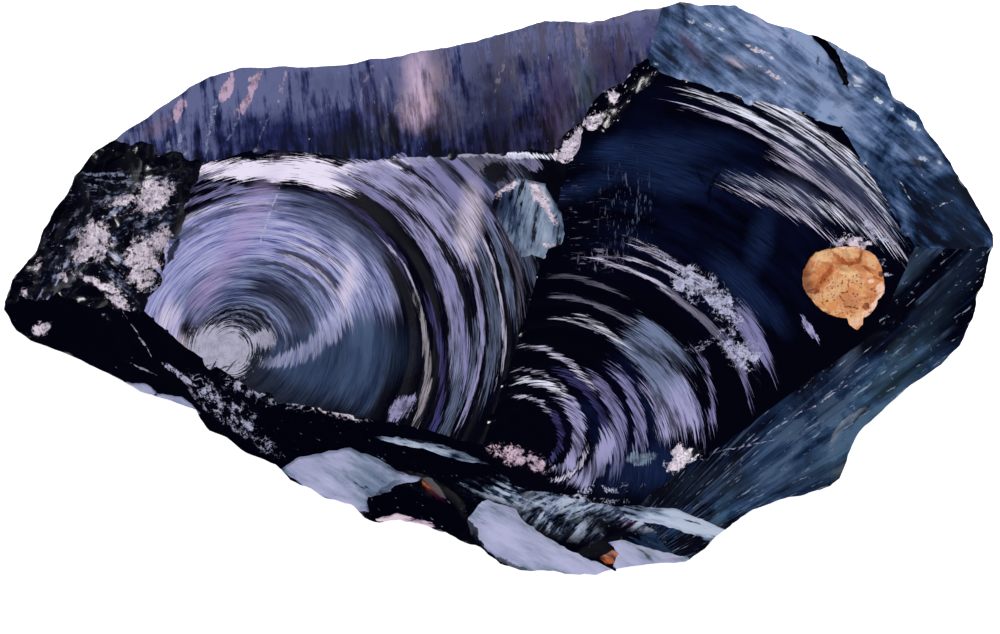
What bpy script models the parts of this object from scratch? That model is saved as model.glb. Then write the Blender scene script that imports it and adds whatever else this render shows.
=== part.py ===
"""A chunk of obsidian lying on a flat broken face, with a spherulite nodule seated in its upper side.

The chunk is made the way stone is knapped. A blank with the outline of the chunk is hit again and
again, and each blow takes off one flake. The flake leaves a shallow bowl whose ripples run round the
point that was struck, and where two bowls meet there is a sharp ridge.

X runs along the chunk and +Z is up. The origin is the middle of its bounding box, on the surface it
lies on. Sizes in the tables below are in millimetres and degrees.
"""

import math
from collections import namedtuple

import bmesh
import bpy
from mathutils import Matrix, Vector

MM = 0.001

# ---- driving dimensions, in millimetres ----
BLANK_HEIGHT = 50.0  # of the blank, above every ridge of the finished chunk
EDGE_LEFT, EDGE_RIGHT = 9.0, 22.0  # height of the blank's widest line at its left and right tips
TAPER = [(0.0, 0.64), (0.3, 0.81), (0.65, 0.94), (1.0, 1.0)]  # share of that height, share of the outline
CENTRE = (1.0, -1.0)  # the taper draws in towards this point
REACH = 115.0  # how far a great blow's bowl runs
CUTTER_HEIGHT = 90.0  # how far a great blow's cutter stands out of the stone
NODULE_AT = (50.9, 0.6, 27.1)  # the middle of the nodule, at the skin of the stone
NODULE_FACES, NODULE_LEAN = -32, 4.0
NODULE_RADIUS = 6.0
GAP = 0.3  # between the nodule and the pocket it sits in
CENTRING = (0.45, 0.25, 0.0)  # puts the middle of the finished chunk at the origin

# The outline of the chunk seen from above, clockwise from its left tip.
OUTLINE = [
    (-75.0, -3.1), (-73.1, 2.1), (-70.0, 5.9), (-68.5, 9.7), (-66.0, 13.7), (-64.0, 17.2),
    (-61.7, 20.2), (-55.9, 23.9), (-50.4, 27.7), (-44.4, 31.8), (-39.1, 33.2), (-30.0, 33.6),
    (-22.4, 34.2), (-17.2, 34.5), (-11.9, 35.6), (-7.4, 36.2), (-3.0, 37.0), (1.5, 38.8),
    (6.7, 39.9), (13.3, 39.5), (17.7, 40.5), (22.2, 41.4), (26.6, 42.3), (34.7, 41.9),
    (40.7, 39.4), (44.4, 38.3), (47.4, 37.6), (51.1, 35.4), (54.1, 33.9), (57.1, 31.7),
    (58.6, 28.7), (62.4, 25.8), (64.6, 22.1), (67.6, 18.4), (69.9, 14.7), (72.1, 11.0),
    (74.1, 7.3), (72.9, 4.0), (72.2, -0.2), (70.7, -4.6), (69.2, -8.4), (67.0, -10.6),
    (65.5, -12.1), (63.3, -15.1), (60.4, -18.8), (58.9, -19.5), (57.4, -22.5), (55.2, -25.8),
    (52.2, -27.8), (48.4, -30.0), (45.4, -30.7), (41.6, -31.4), (37.1, -33.2), (33.4, -35.8),
    (29.7, -39.1), (28.2, -40.3), (23.8, -41.5), (17.9, -42.6), (13.4, -42.8), (8.9, -42.3),
    (3.0, -41.9), (0.0, -41.1), (-3.0, -38.8), (-6.0, -37.4), (-10.4, -35.6), (-14.9, -34.5),
    (-17.9, -34.9), (-20.2, -34.1), (-22.4, -32.3), (-26.9, -30.8), (-31.4, -28.6), (-33.6, -26.3),
    (-37.4, -24.8), (-40.3, -22.6), (-43.3, -21.1), (-45.5, -18.1), (-50.1, -16.6), (-53.9, -15.4),
    (-58.5, -12.9), (-63.1, -10.7), (-67.7, -8.9), (-70.8, -7.7), (-73.1, -6.2),
]

# The great blows: where each struck, which way its bowl faces (compass angle from +X), how far that
# leans from straight up, the bowl's radius, then the first ripple's length, how much the ripples
# lengthen for each millimetre out, their height and how far the rings drift away from the blow.
Blow = namedtuple("Blow", "name at faces lean bowl ripple growth height drift steps")
BLOWS = [
    Blow("upper_band", (-10.4, 28.0, 24.2), 122, 31.0, 900, 9.0, 0.02, 0.10, 0.0, 24),
    Blow("upper_right_face_a", (34.4, 33.1, 30.3), 49, 21.0, 600, 9.0, 0.02, 0.10, 0.0, 24),
    Blow("upper_right_face_b", (61.6, 12.2, 26.1), 20, 22.3, 600, 9.0, 0.02, 0.10, 0.0, 24),
    Blow("lower_right_face_a", (63.0, 3.0, 25.5), -23, 22.2, 600, 9.0, 0.02, 0.10, 0.0, 24),
    Blow("lower_right_face_b", (47.0, -18.7, 25.4), -45, 28.0, 600, 9.0, 0.02, 0.10, 0.0, 24),
    Blow("lower_left_face", (-47.8, -16.6, 18.3), -155, 23.5, 600, 9.0, 0.02, 0.05, 0.0, 24),
    Blow("left_tip_face", (-58.5, 8.9, 14.8), 157, 21.0, 400, 9.0, 0.02, 0.10, 0.0, 24),
    Blow("front_face", (9.0, -31.5, 31.0), -92, 44.0, 200, 7.0, 0.02, 0.20, 0.0, 32),
    Blow("front_left_face", (-17.7, -23.7, 26.6), -131, 32.0, 200, 6.0, 0.02, 0.12, 0.0, 24),
    Blow("front_right_face", (34.0, -33.0, 27.0), -62, 36.0, 200, 7.0, 0.02, 0.15, 0.0, 24),
    Blow("great_scar", (3.7, -25.9, 33.0), 9, 10.2, 400, 2.3, 0.045, 0.17, 0.2, 64),
    Blow("left_scar", (-40.9, -9.1, 21.4), 143, 14.1, 200, 1.9, 0.045, 0.16, 0.28, 64),
]

# Lesser scars in the sides: struck from this compass angle at this height, this wide each way from
# the middle and this deep.
SIDE_SCARS = [
    (3, 13, 17, 3.5), (27, 9, 14, 3.0), (44, 16, 13, 3.0), (63, 10, 16, 4.0), (88, 15, 15, 3.5),
    (108, 7, 14, 3.0), (128, 9, 16, 3.0), (150, 7, 12, 2.5), (170, 5, 11, 2.0), (194, 6, 11, 2.0),
    (212, 9, 13, 3.0), (236, 7, 15, 3.5), (256, 14, 12, 3.0), (276, 8, 15, 3.5), (298, 13, 14, 3.5),
    (318, 8, 14, 2.4), (337, 15, 12, 3.0), (349, 6, 13, 3.0),
]

# Small flakes lost from the upper side: across, up, half width, depth, how many times longer than
# wide, and the compass angle of the long way.
CHIPS = [
    (-61.2, 6.3, 3.6, 0.9, 1.3, 40), (-56.4, 10.2, 3.4, 0.9, 1.2, 100), (-52.8, 5.6, 3.4, 1.0, 1.5, 70),
    (-57.4, 1.6, 3.0, 0.8, 1.5, 10), (-50.6, 13.0, 3.0, 0.8, 1.4, 60), (-65.8, 2.6, 3.0, 0.7, 1.4, 30),
    (-54.8, 17.2, 3.0, 0.7, 1.6, 20), (-62.4, 12.4, 3.2, 0.7, 1.5, 60), (3.4, 14.6, 4.0, 1.1, 1.4, 110),
    (7.4, 8.8, 2.6, 0.8, 1.6, 100), (10.6, 22.2, 2.6, 0.9, 1.5, 60), (15.6, 27.2, 2.8, 0.9, 1.6, 50),
    (20.8, 32.0, 2.2, 0.7, 1.6, 50), (27.2, -23.2, 2.4, 0.7, 1.3, 20), (-23.5, -28.6, 5.6, 1.1, 1.5, -20),
    (-11.2, -32.2, 4.8, 2.2, 1.4, -10), (4.0, -37.0, 6.0, 1.0, 1.5, -30), (21.0, -38.6, 5.0, 1.0, 1.5, 20),
    (51.8, 31.0, 3.4, 1.2, 1.3, -40), (62.6, 20.6, 2.8, 0.8, 1.4, -50), (53.0, -21.5, 3.2, 1.0, 1.5, 50),
    (-16.5, 30.0, 1.9, 0.5, 3.2, 100), (-3.0, 29.0, 2.2, 0.5, 3.4, 98), (4.5, 31.0, 1.8, 0.5, 3.6, 95),
    (11.0, 33.6, 2.0, 0.5, 3.0, 92), (-40.0, 26.6, 2.0, 0.4, 3.0, 115),
]
CHIP_STEPS, SIDE_STEPS = 9, 18
UNEVEN = 0.14  # how far a small flake's rim wanders in and out, as a share of its width

# The nodule turned about its own axis: out from the middle, and up from the skin of the stone. Its
# under side is a deep dish and its upper side is a rim round a shallow hollow.
NODULE_UNDER = [(0.0, -4.3), (0.4, -4.0), (0.72, -3.0), (0.92, -1.5), (1.0, 0.0)]
NODULE_UPPER = [(0.97, 0.45), (0.84, 0.75), (0.66, 0.35), (0.45, -0.25), (0.22, -0.4), (0.0, -0.45)]
NODULE_STEPS = 36
PETALS = 9  # folded plates round the rim
PETAL_RISE = 0.35
BOSS_AT = (1.6, -2.1)  # a rounded boss off to one side of the hollow
BOSS_SIZE, BOSS_RISE = 1.7, 0.8
TAIL_ANGLE, TAIL_WIDTH, TAIL_REACH = -75, 12, 0.11  # a short spur on the rim


SHOP = Matrix.Scale(MM, 4) @ Matrix.Translation(CENTRING)  # from the tables' millimetres to the scene


def wave_out(blow, phase):
    """How far from the blow the ripples have got after this many of them."""
    return blow.ripple / blow.growth * (math.exp(phase * blow.growth) - 1)


def bowl_profile(blow):
    """Points (distance from the blow, height) down the bowl, through the crests and troughs."""
    points = [(0.0, 0.0)]
    phase = 0.25
    while points[-1][0] < REACH:
        out = wave_out(blow, phase)
        wave = blow.height * min(1.0, phase / 2) * math.sin(2 * math.pi * phase)
        points.append((out, out * out / (2 * blow.bowl) + wave))
        phase += 0.5
    return points


def facing(faces, lean):
    """The turn that leans straight up over towards this compass angle, without spinning it."""
    spin = Matrix.Rotation(math.radians(faces), 4, "Z")
    return spin @ Matrix.Rotation(math.radians(lean), 4, "Y") @ spin.inverted()


def turned(name, profile, steps):
    """A closed solid of revolution about Z whose profile runs from axis to axis."""
    bm = bmesh.new()
    points = [bm.verts.new((x, 0.0, z)) for x, z in profile]
    edges = [bm.edges.new(pair) for pair in zip(points, points[1:])]
    bmesh.ops.spin(
        bm, geom=points + edges, cent=(0, 0, 0), axis=(0, 0, 1), angle=2 * math.pi, steps=steps
    )
    bmesh.ops.remove_doubles(bm, verts=bm.verts, dist=0.001)
    bmesh.ops.recalc_face_normals(bm, faces=bm.faces)
    mesh = bpy.data.meshes.new(name)
    bm.to_mesh(mesh)
    bm.free()
    return bpy.data.objects.new(name, mesh)


def flake(blow):
    """The stone that a great blow takes off, as a solid whose underside is the rippled bowl."""
    profile = bowl_profile(blow)
    rim = profile[-1][0]
    cutter = turned(blow.name, profile + [(rim, CUTTER_HEIGHT), (0.0, CUTTER_HEIGHT)], blow.steps)
    for vert in cutter.data.vertices:
        vert.co.x += blow.drift * vert.co.xy.length
    place = Matrix.Translation(Vector(blow.at)) @ facing(blow.faces, blow.lean)
    cutter.data.transform(SHOP @ place)
    return cutter


def small_flake(name, hit, normal, half, deep, long=1.0, angle=0.0, steps=SIDE_STEPS):
    """A dished cutter that sinks this deep into the stone at a point on its skin."""
    if normal.length < 0.5:
        raise ValueError(f"{name} misses the stone")
    bowl = (half * half + deep * deep) / (2 * deep)
    profile = [(out * half, (out * half) ** 2 / (2 * bowl) - deep) for out in (0.0, 0.4, 0.8, 1.2, 1.5)]
    top = half * 1.2 + 3.0
    cutter = turned(name, profile + [(half * 1.5, top), (0.0, top)], steps)
    start = (SHOP.inverted() @ hit).length
    for vert in cutter.data.vertices:
        way = math.atan2(vert.co.y, vert.co.x)
        vert.co.xy *= 1 + UNEVEN * (math.sin(2 * way + start) + math.sin(3 * way + 2.3 * start)) / 2
        vert.co.x *= long
    along = Vector((math.cos(math.radians(angle)), math.sin(math.radians(angle)), 0))
    across = normal.cross(along).normalized()
    turn = Matrix((across.cross(normal), across, normal)).transposed().to_4x4()
    cutter.data.transform(SHOP @ Matrix.Translation(SHOP.inverted() @ hit) @ turn)
    return cutter


def level(bm, size, height):
    """One turn of the outline, drawn in to this size about the centre."""
    across = max(x for x, _ in OUTLINE)
    ring = []
    for x, y in OUTLINE:
        out = CENTRE[0] + (x - CENTRE[0]) * size
        up = CENTRE[1] + (y - CENTRE[1]) * size
        edge = EDGE_LEFT + (EDGE_RIGHT - EDGE_LEFT) * (x + across) / (2 * across)
        ring.append(bm.verts.new((out, up, height(edge))))
    return [bm.edges.new((ring[i - 1], ring[i])) for i in range(len(ring))]


def blank():
    """The outline drawn out into a block that tapers in below its widest line."""
    bm = bmesh.new()
    rings = [level(bm, size, lambda edge, share=share: share * edge) for share, size in TAPER]
    rings.append(level(bm, 1.0, lambda edge: BLANK_HEIGHT))
    for low, high in zip(rings, rings[1:]):
        bmesh.ops.bridge_loops(bm, edges=low + high)
    for ring in (rings[0], rings[-1]):
        bmesh.ops.contextual_create(bm, geom=ring)
    bmesh.ops.recalc_face_normals(bm, faces=bm.faces)
    mesh = bpy.data.meshes.new("obsidian")
    bm.to_mesh(mesh)
    bm.free()
    mesh.transform(SHOP)
    return bpy.data.objects.new("obsidian", mesh)


def spur(x, y):
    """How much further out the rim stands where its spur is."""
    off = math.degrees(math.atan2(y, x)) - TAIL_ANGLE
    return 1.0 + TAIL_REACH * math.exp(-((off / TAIL_WIDTH) ** 2))


def nodule_placed(shape):
    for vert in shape.data.vertices:
        vert.co.xy *= spur(vert.co.x, vert.co.y)
    place = Matrix.Translation(Vector(NODULE_AT)) @ facing(NODULE_FACES, NODULE_LEAN)
    shape.data.transform(SHOP @ place)
    return shape


def nodule():
    """The ball of crystals: a dish below, and above it folded plates round a hollow with a boss."""
    profile = [(out * NODULE_RADIUS, up) for out, up in NODULE_UNDER + NODULE_UPPER]
    shape = turned("spherulite", profile, NODULE_STEPS)
    for vert in shape.data.vertices:
        if vert.co.z > -0.6 and vert.co.xy.length < 0.98 * NODULE_RADIUS:
            angle = math.atan2(vert.co.y, vert.co.x)
            out = vert.co.xy.length / NODULE_RADIUS
            fold = abs(math.sin(angle * PETALS / 2 + 1.2 * out))
            boss = math.exp(-((vert.co.xy - Vector(BOSS_AT)).length / BOSS_SIZE) ** 2)
            vert.co.z += PETAL_RISE * out * (fold - 0.5) + BOSS_RISE * boss
    return nodule_placed(shape)


def pocket():
    """The hole the nodule fills, wider than the nodule by the gap all round, open above."""
    profile = [(out * NODULE_RADIUS + (GAP if out else 0), up - GAP) for out, up in NODULE_UNDER]
    rim = NODULE_RADIUS + GAP
    return nodule_placed(turned("pocket", profile + [(rim, 6.0), (0.0, 6.0)], NODULE_STEPS))


class Knapper:
    """Takes flakes off one stone."""

    def __init__(self, stone, cutters):
        self.stone = stone
        self.cutters = cutters

    def strike(self, cutter):
        self.cutters.objects.link(cutter)
        cutter.hide_render = True
        cutter.display_type = "WIRE"
        cut = self.stone.modifiers.new(cutter.name, "BOOLEAN")
        cut.operation = "DIFFERENCE"
        cut.solver = "EXACT"
        cut.object = cutter

    def skin(self, lines):
        """Where each line meets the stone as it is now, and which way the stone faces there."""
        bpy.context.view_layer.update()
        stone = self.stone.evaluated_get(bpy.context.evaluated_depsgraph_get())
        hits = [stone.ray_cast(start, towards) for start, towards in lines]
        return [(hit, normal) for _, hit, normal, _ in hits]


def paint(shape, name, colour, roughness):
    material = bpy.data.materials.new(name)
    material.use_nodes = True
    shader = material.node_tree.nodes["Principled BSDF"]
    shader.inputs["Base Color"].default_value = (*colour, 1)
    shader.inputs["Roughness"].default_value = roughness
    shader.inputs["Metallic"].default_value = 0.0
    shape.data.materials.append(material)


def side_line(angle, height):
    out = Vector((math.cos(math.radians(angle)), math.sin(math.radians(angle)), 0))
    return SHOP @ Vector((CENTRE[0], CENTRE[1], height)) + out * 0.2, -out


def top_line(across, up):
    return SHOP @ Vector((across, up, 200)), Vector((0, 0, -1))


def main():
    for obj in list(bpy.data.objects):
        bpy.data.objects.remove(obj)
    piece = bpy.data.collections.new("obsidian_chunk")
    cutters = bpy.data.collections.new("cutters")
    bpy.context.scene.collection.children.link(piece)
    bpy.context.scene.collection.children.link(cutters)
    stone = blank()
    paint(stone, "obsidian_glass", (0.010, 0.012, 0.018), 0.12)
    piece.objects.link(stone)
    knapper = Knapper(stone, cutters)
    for blow in BLOWS[:-2]:
        knapper.strike(flake(blow))
    places = knapper.skin([side_line(angle, height) for angle, height, _, _ in SIDE_SCARS])
    for number, (hit, normal) in enumerate(places):
        knapper.strike(small_flake(f"side_scar_{number:02d}", hit, normal, *SIDE_SCARS[number][2:]))
    for blow in BLOWS[-2:]:
        knapper.strike(flake(blow))
    lines = [top_line(across, up) for across, up, *_ in CHIPS]
    for number, (hit, normal) in enumerate(knapper.skin(lines)):
        chip = small_flake(f"chip_{number:02d}", hit, normal, *CHIPS[number][2:], steps=CHIP_STEPS)
        knapper.strike(chip)
    knapper.strike(pocket())
    ball = nodule()
    paint(ball, "spherulite_crust", (0.60, 0.30, 0.13), 0.8)
    ball.data.shade_smooth()
    piece.objects.link(ball)


main()
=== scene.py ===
"""The obsidian chunk dressed for its picture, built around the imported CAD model.

Sizes in the tables are in millimetres and degrees, as in the part's own source. The stone is knapped
again here, from the same blows, but with finely gridded bowls that carry the ripples, hackles and
chips of real glass. Every bowl leaves its own material on the face that it makes.
"""

import math
from collections import namedtuple

import bmesh
import bpy
import numpy as np
from mathutils import Matrix, Vector, geometry, noise
from mathutils.bvhtree import BVHTree


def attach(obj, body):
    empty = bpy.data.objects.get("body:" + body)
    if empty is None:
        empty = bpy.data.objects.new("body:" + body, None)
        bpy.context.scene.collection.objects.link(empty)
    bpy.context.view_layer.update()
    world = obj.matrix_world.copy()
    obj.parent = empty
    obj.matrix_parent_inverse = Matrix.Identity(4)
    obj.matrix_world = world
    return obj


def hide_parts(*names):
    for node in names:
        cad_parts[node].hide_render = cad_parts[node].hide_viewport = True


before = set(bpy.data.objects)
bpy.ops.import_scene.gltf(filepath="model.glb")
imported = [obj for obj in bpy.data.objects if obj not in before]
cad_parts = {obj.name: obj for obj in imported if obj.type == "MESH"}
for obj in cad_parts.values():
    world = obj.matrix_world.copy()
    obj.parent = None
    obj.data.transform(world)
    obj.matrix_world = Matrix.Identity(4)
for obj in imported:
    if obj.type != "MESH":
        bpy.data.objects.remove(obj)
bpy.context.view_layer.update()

MM = 0.001
SEED = 7
rng = np.random.default_rng(SEED)
CENTRING = (0.45, 0.25, 0.0)  # from the tables' origin to the middle of the part's box
SHOP = Matrix.Scale(MM, 4) @ Matrix.Translation(CENTRING)
BLANK_HEIGHT = 50.0
EDGE_LEFT, EDGE_RIGHT = 9.0, 22.0  # height of the outer edge at the two ends
# how the walls draw in below: share of the edge's height, share of the outline's size there
TAPER = [(0.0, 0.64), (0.3, 0.81), (0.65, 0.94), (1.0, 1.0)]
CENTRE = (1.0, -1.0)
FAR, LID = 125.0, 110.0  # how far out a cutter reaches, and how high
ABOVE = 200.0  # how far off a look at the stone starts

# the outline seen from above
OUTLINE = [
    (-75, -3.1), (-73.1, 2.1), (-70, 5.9), (-68.5, 9.7), (-66, 13.7), (-64, 17.2), (-61.7, 20.2),
    (-55.9, 23.9), (-50.4, 27.7), (-44.4, 31.8), (-39.1, 33.2), (-30, 33.6), (-22.4, 34.2), (-17.2, 34.5),
    (-11.9, 35.6), (-7.4, 36.2), (-3, 37), (1.5, 38.8), (6.7, 39.9), (13.3, 39.5), (17.7, 40.5),
    (22.2, 41.4), (26.6, 42.3), (34.7, 41.9), (40.7, 39.4), (44.4, 38.3), (47.4, 37.6), (51.1, 35.4),
    (54.1, 33.9), (57.1, 31.7), (58.6, 28.7), (62.4, 25.8), (64.6, 22.1), (67.6, 18.4), (69.9, 14.7),
    (72.1, 11), (74.1, 7.3), (72.9, 4), (72.2, -.2), (70.7, -4.6), (69.2, -8.4), (67, -10.6), (65.5, -12.1),
    (63.3, -15.1), (60.4, -18.8), (58.9, -19.5), (57.4, -22.5), (55.2, -25.8), (52.2, -27.8), (48.4, -30),
    (45.4, -30.7), (41.6, -31.4), (37.1, -33.2), (33.4, -35.8), (29.7, -39.1), (28.2, -40.3), (23.8, -41.5),
    (17.9, -42.6), (13.4, -42.8), (8.9, -42.3), (3, -41.9), (0, -41.1), (-3, -38.8), (-6, -37.4),
    (-10.4, -35.6), (-14.9, -34.5), (-17.9, -34.9), (-20.2, -34.1), (-22.4, -32.3), (-26.9, -30.8),
    (-31.4, -28.6), (-33.6, -26.3), (-37.4, -24.8), (-40.3, -22.6), (-43.3, -21.1), (-45.5, -18.1),
    (-50.1, -16.6), (-53.9, -15.4), (-58.5, -12.9), (-63.1, -10.7), (-67.7, -8.9), (-70.8, -7.7),
    (-73.1, -6.2),
]

# a great face: the point it goes through, the way it faces and how far it leans, the radius of its
# bowl, the window and step of its grid, and its stuff
Face = namedtuple("Face", "name at faces lean bowl window step stuff")
FACES = [
    Face("upper_band", (-10.4, 28, 24.2), 122, 31, 900, (-62, 52, -26, 26), .6, "band"),
    Face("upper_right_face_a", (34.4, 33.1, 28.9), 49, 21, 600, (-14, 30, -16, 14), .6, "steel"),
    Face("upper_right_face_b", (61.6, 12.2, 24.9), 20, 22.3, 600, (-16, 18, -10, 30), .6, "steel"),
    Face("lower_right_face_a", (63, 3, 24.7), -23, 22.2, 600, (-14, 16, -18, 8), .6, "teal"),
    Face("lower_right_face_b", (47, -18.7, 24.4), -45, 28, 600, (-26, 32, -26, 24), .6, "teal"),
    Face("lower_left_face", (-47.8, -16.6, 18.3), -155, 23.5, 600, (-34, 36, -18, 18), .7, "black"),
    Face("left_tip_face", (-58.5, 8.9, 14.8), 157, 21, 400, (-20, 22, -18, 20), .5, "crushed"),
    Face("front_face", (9, -31.5, 31), -92, 44, 200, (-18, 28, -24, 10), .6, "front"),
    Face("front_left_face", (-17.7, -23.7, 26.6), -131, 32, 200, (-24, 24, -20, 16), .6, "front"),
    Face("front_right_face", (34, -33, 27), -62, 36, 200, (-16, 16, -16, 12), .6, "front"),
]

# a great scar: where it was struck, its way, lean and bowl, the width of its first ripple and how ripples
# grow, the drift of its rings, its reach, and its stuff
Scar = namedtuple("Scar", "name at faces lean bowl ripple growth drift reach stuff")
SCARS = [
    Scar("great_scar", (3.7, -25.9, 33), 9, 10.2, 400, 2.3, .045, .2, 96, "great"),
    Scar("left_scar", (-40.9, -9.1, 21.4), 143, 14.1, 200, 1.9, .045, .28, 72, "left"),
]

# compass angle, height, half width and depth of each side scar
SIDE_SCARS = [
    (3, 13, 17, 3.5), (27, 9, 14, 3), (44, 16, 13, 3), (63, 10, 16, 4), (88, 15, 15, 3.5), (108, 7, 14, 3),
    (128, 9, 16, 3), (150, 7, 12, 2.5), (170, 5, 11, 2), (194, 6, 11, 2), (212, 9, 13, 3),
    (236, 7, 15, 3.5), (256, 14, 12, 3), (276, 8, 15, 3.5), (298, 13, 14, 3.5), (318, 8, 14, 2.4),
    (337, 15, 12, 3), (349, 6, 13, 3),
]

# small flake scars: across, up, half width, depth, times longer, compass angle, stuff
CHIPS = [
    (-61.2, 6.3, 3.6, .9, 1.3, 40, "crushed"), (-56.4, 10.2, 3.4, .9, 1.2, 100, "crushed"),
    (-52.8, 5.6, 3.4, 1, 1.5, 70, "crushed"), (-57.4, 1.6, 3, .8, 1.5, 10, "crushed"),
    (-50.6, 13, 3, .8, 1.4, 60, "crushed"), (-65.8, 2.6, 3, .7, 1.4, 30, "crushed"),
    (-54.8, 17.2, 3, .7, 1.6, 20, "crushed"), (-62.4, 12.4, 3.2, .7, 1.5, 60, "crushed"),
    (6.4, 9, 2.6, .6, 1.6, 100, "lobe"), (10.6, 22.2, 2.6, .9, 1.5, 60, "break"),
    (15.6, 27.2, 2.8, .9, 1.6, 50, "break"), (20.8, 32, 2.2, .7, 1.6, 50, "break"),
    (27.2, -23.2, 2.4, .7, 1.3, 20, "great"), (-11.2, -32.2, 4.8, 1.3, 1.4, -10, "front"),
    (51.8, 31, 3.4, 1.2, 1.3, -40, "steel"), (62.6, 20.6, 2.8, .8, 1.4, -50, "steel"),
    (53, -21.5, 3.2, 1, 1.5, 50, "teal"), (-16.5, 30, 1.9, .18, 3.2, 100, "band"),
]

# Every arc of light on the ripples of a blow, a low wave on the bowl and a painted reflection in the glass's
# colour, bright or dark: radius at one end and at the other, half width, angle round the blow at one end and
# at the other, tone, share
GREAT_REFLECTION_STREAKS = [
    (10.5, 8.2, .22, 103, 78, "pale", .8), (7.8, 3.2, .45, 70, 12, "dusk", .9),
    (12.7, 10.7, .42, 101, 69, "bright", .95), (14.1, 11.8, .12, 101, 72, "pale", .5),
    (10, 4.7, .8, 62, -6, "lilac", .95), (7.6, 4.2, .28, 11, -32, "pale", .9),
    (17.4, 13.8, .3, 97, 62, "pale", .95), (13.8, 11.3, .45, 76, 31, "dusk", .9),
    (11.3, 7, 1.1, 24, -22, "lilac", .9), (14.4, 11.6, .62, 56, 1, "lavender", .9),
    (16.9, 14.5, .62, 50, 10, "lavender", .95), (21.4, 20.3, .22, 85, 56, "pale", .9),
    (21.9, 20.2, .3, 76, 55, "bright", .7), (20.6, 20, 2.2, 36, 16, "lilac", .95),
    (21.6, 20.6, 1.6, 57, 34, "steel", .9), (24.1, 23.9, .95, 57, 40, "steel", .95),
    (24.7, 23.7, .28, 87, 66, "grey", .9), (27.6, 26.9, .26, 90, 74, "grey", .6),
    (30.3, 29.6, .26, 77, 50, "pale", .9), (29.8, 29.7, .4, 56, 34, "grey", .9),
    (31.8, 31.9, .26, 71, 60, "pale", .8), (33.8, 33.1, .42, 69, 55, "pale", .9),
    (33.7, 32.9, 1, 39, 30, "lavender", .85), (30.2, 29.6, .4, 36, 25, "lavender", .6),
    (26, 24, .26, 34, 15, "lavender", .9), (22.9, 22.6, .22, 23, 12, "lavender", .9),
    (59.4, 58, .42, 78, 48, "bright", .97), (58.5, 56.4, .32, 76, 46, "bright", .85),
    (58.4, 58.6, .5, 74, 70, "pale", .9), (56, 55.5, .5, 71.5, 59, "bright", .97),
    (54, 53.9, .36, 70, 58, "pale", .95), (48.4, 53.3, .42, 58, 40, "bright", .97),
    (46.6, 48.4, .36, 58, 49, "pale", .9), (53, 54.6, .55, 55, 39, "pale", .7),
    (57.5, 55.8, .22, 48, 40, "steel", .8),
]
LEFT_REFLECTION_STREAKS = [
    (28.5, 28.1, .3, 126, 108, "lavender", .8), (28.9, 24.5, .28, 127, 100, "lavender", .85),
    (25.9, 23.3, .4, 124, 92, "lavender", .9), (23.2, 21.5, .34, 121, 88, "pale", .8),
    (21.6, 21, .45, 118, 96, "dusk", .7), (22.4, 22.9, .45, 80, 40, "slate", .8),
    (17.9, 17.8, .26, 72, 40, "pale", .6), (16.6, 17.6, .26, 68, 40, "pale", .8),
    (15.2, 15.6, .4, 74, 38, "ink", .8), (14.7, 15.1, .3, 72, 20, "pale", .6),
    (13.2, 13.9, .26, 84, 34, "ink", .7), (12.1, 12.6, .3, 88, 30, "steel", .8),
    (24.3, 23.7, .4, 70, 29, "dusk", .8), (27.2, 27.6, .55, 68, 30, "lavender", .95),
    (27.6, 28, .85, 38, -2, "lilac", .9), (27.7, 28.8, .6, 2, -24, "steel", .6),
    (29.9, 31.6, 1.55, 64, 29, "lilac", .97), (32.5, 33.2, .34, 58, 33, "ink", .97),
    (34.2, 34.6, 1.3, 56, 33, "lavender", .85), (36.6, 36.6, .9, 54, 38, "lavender", .8),
    (35.6, 35.8, .2, 55, 40, "ink", .8), (39.4, 40, 1.6, 52, 40, "grey", .7),
    (23.7, 24.4, .14, 33, -10, "pale", .7), (23.9, 25.2, .34, 10, -24, "sand", .9),
    (25.2, 27.5, .32, 13, -26, "dusk", .95), (27.6, 29.2, .55, 25, -8, "lavender", .8),
    (31.3, 30.4, .32, 26, -16, "lilac", .85), (30, 29.6, .26, 2, -14, "steel", .8),
    (33, 32.1, .55, 27, -8, "steel", .6), (33.6, 33.4, .2, 24, 0, "pale", .7),
    (35.1, 34.6, .36, 27, 8, "steel", .9), (36.6, 36, .5, 25, 12, "grey", .5),
    (38.2, 37.8, .6, 30, 14, "steel", .45),
]
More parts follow.
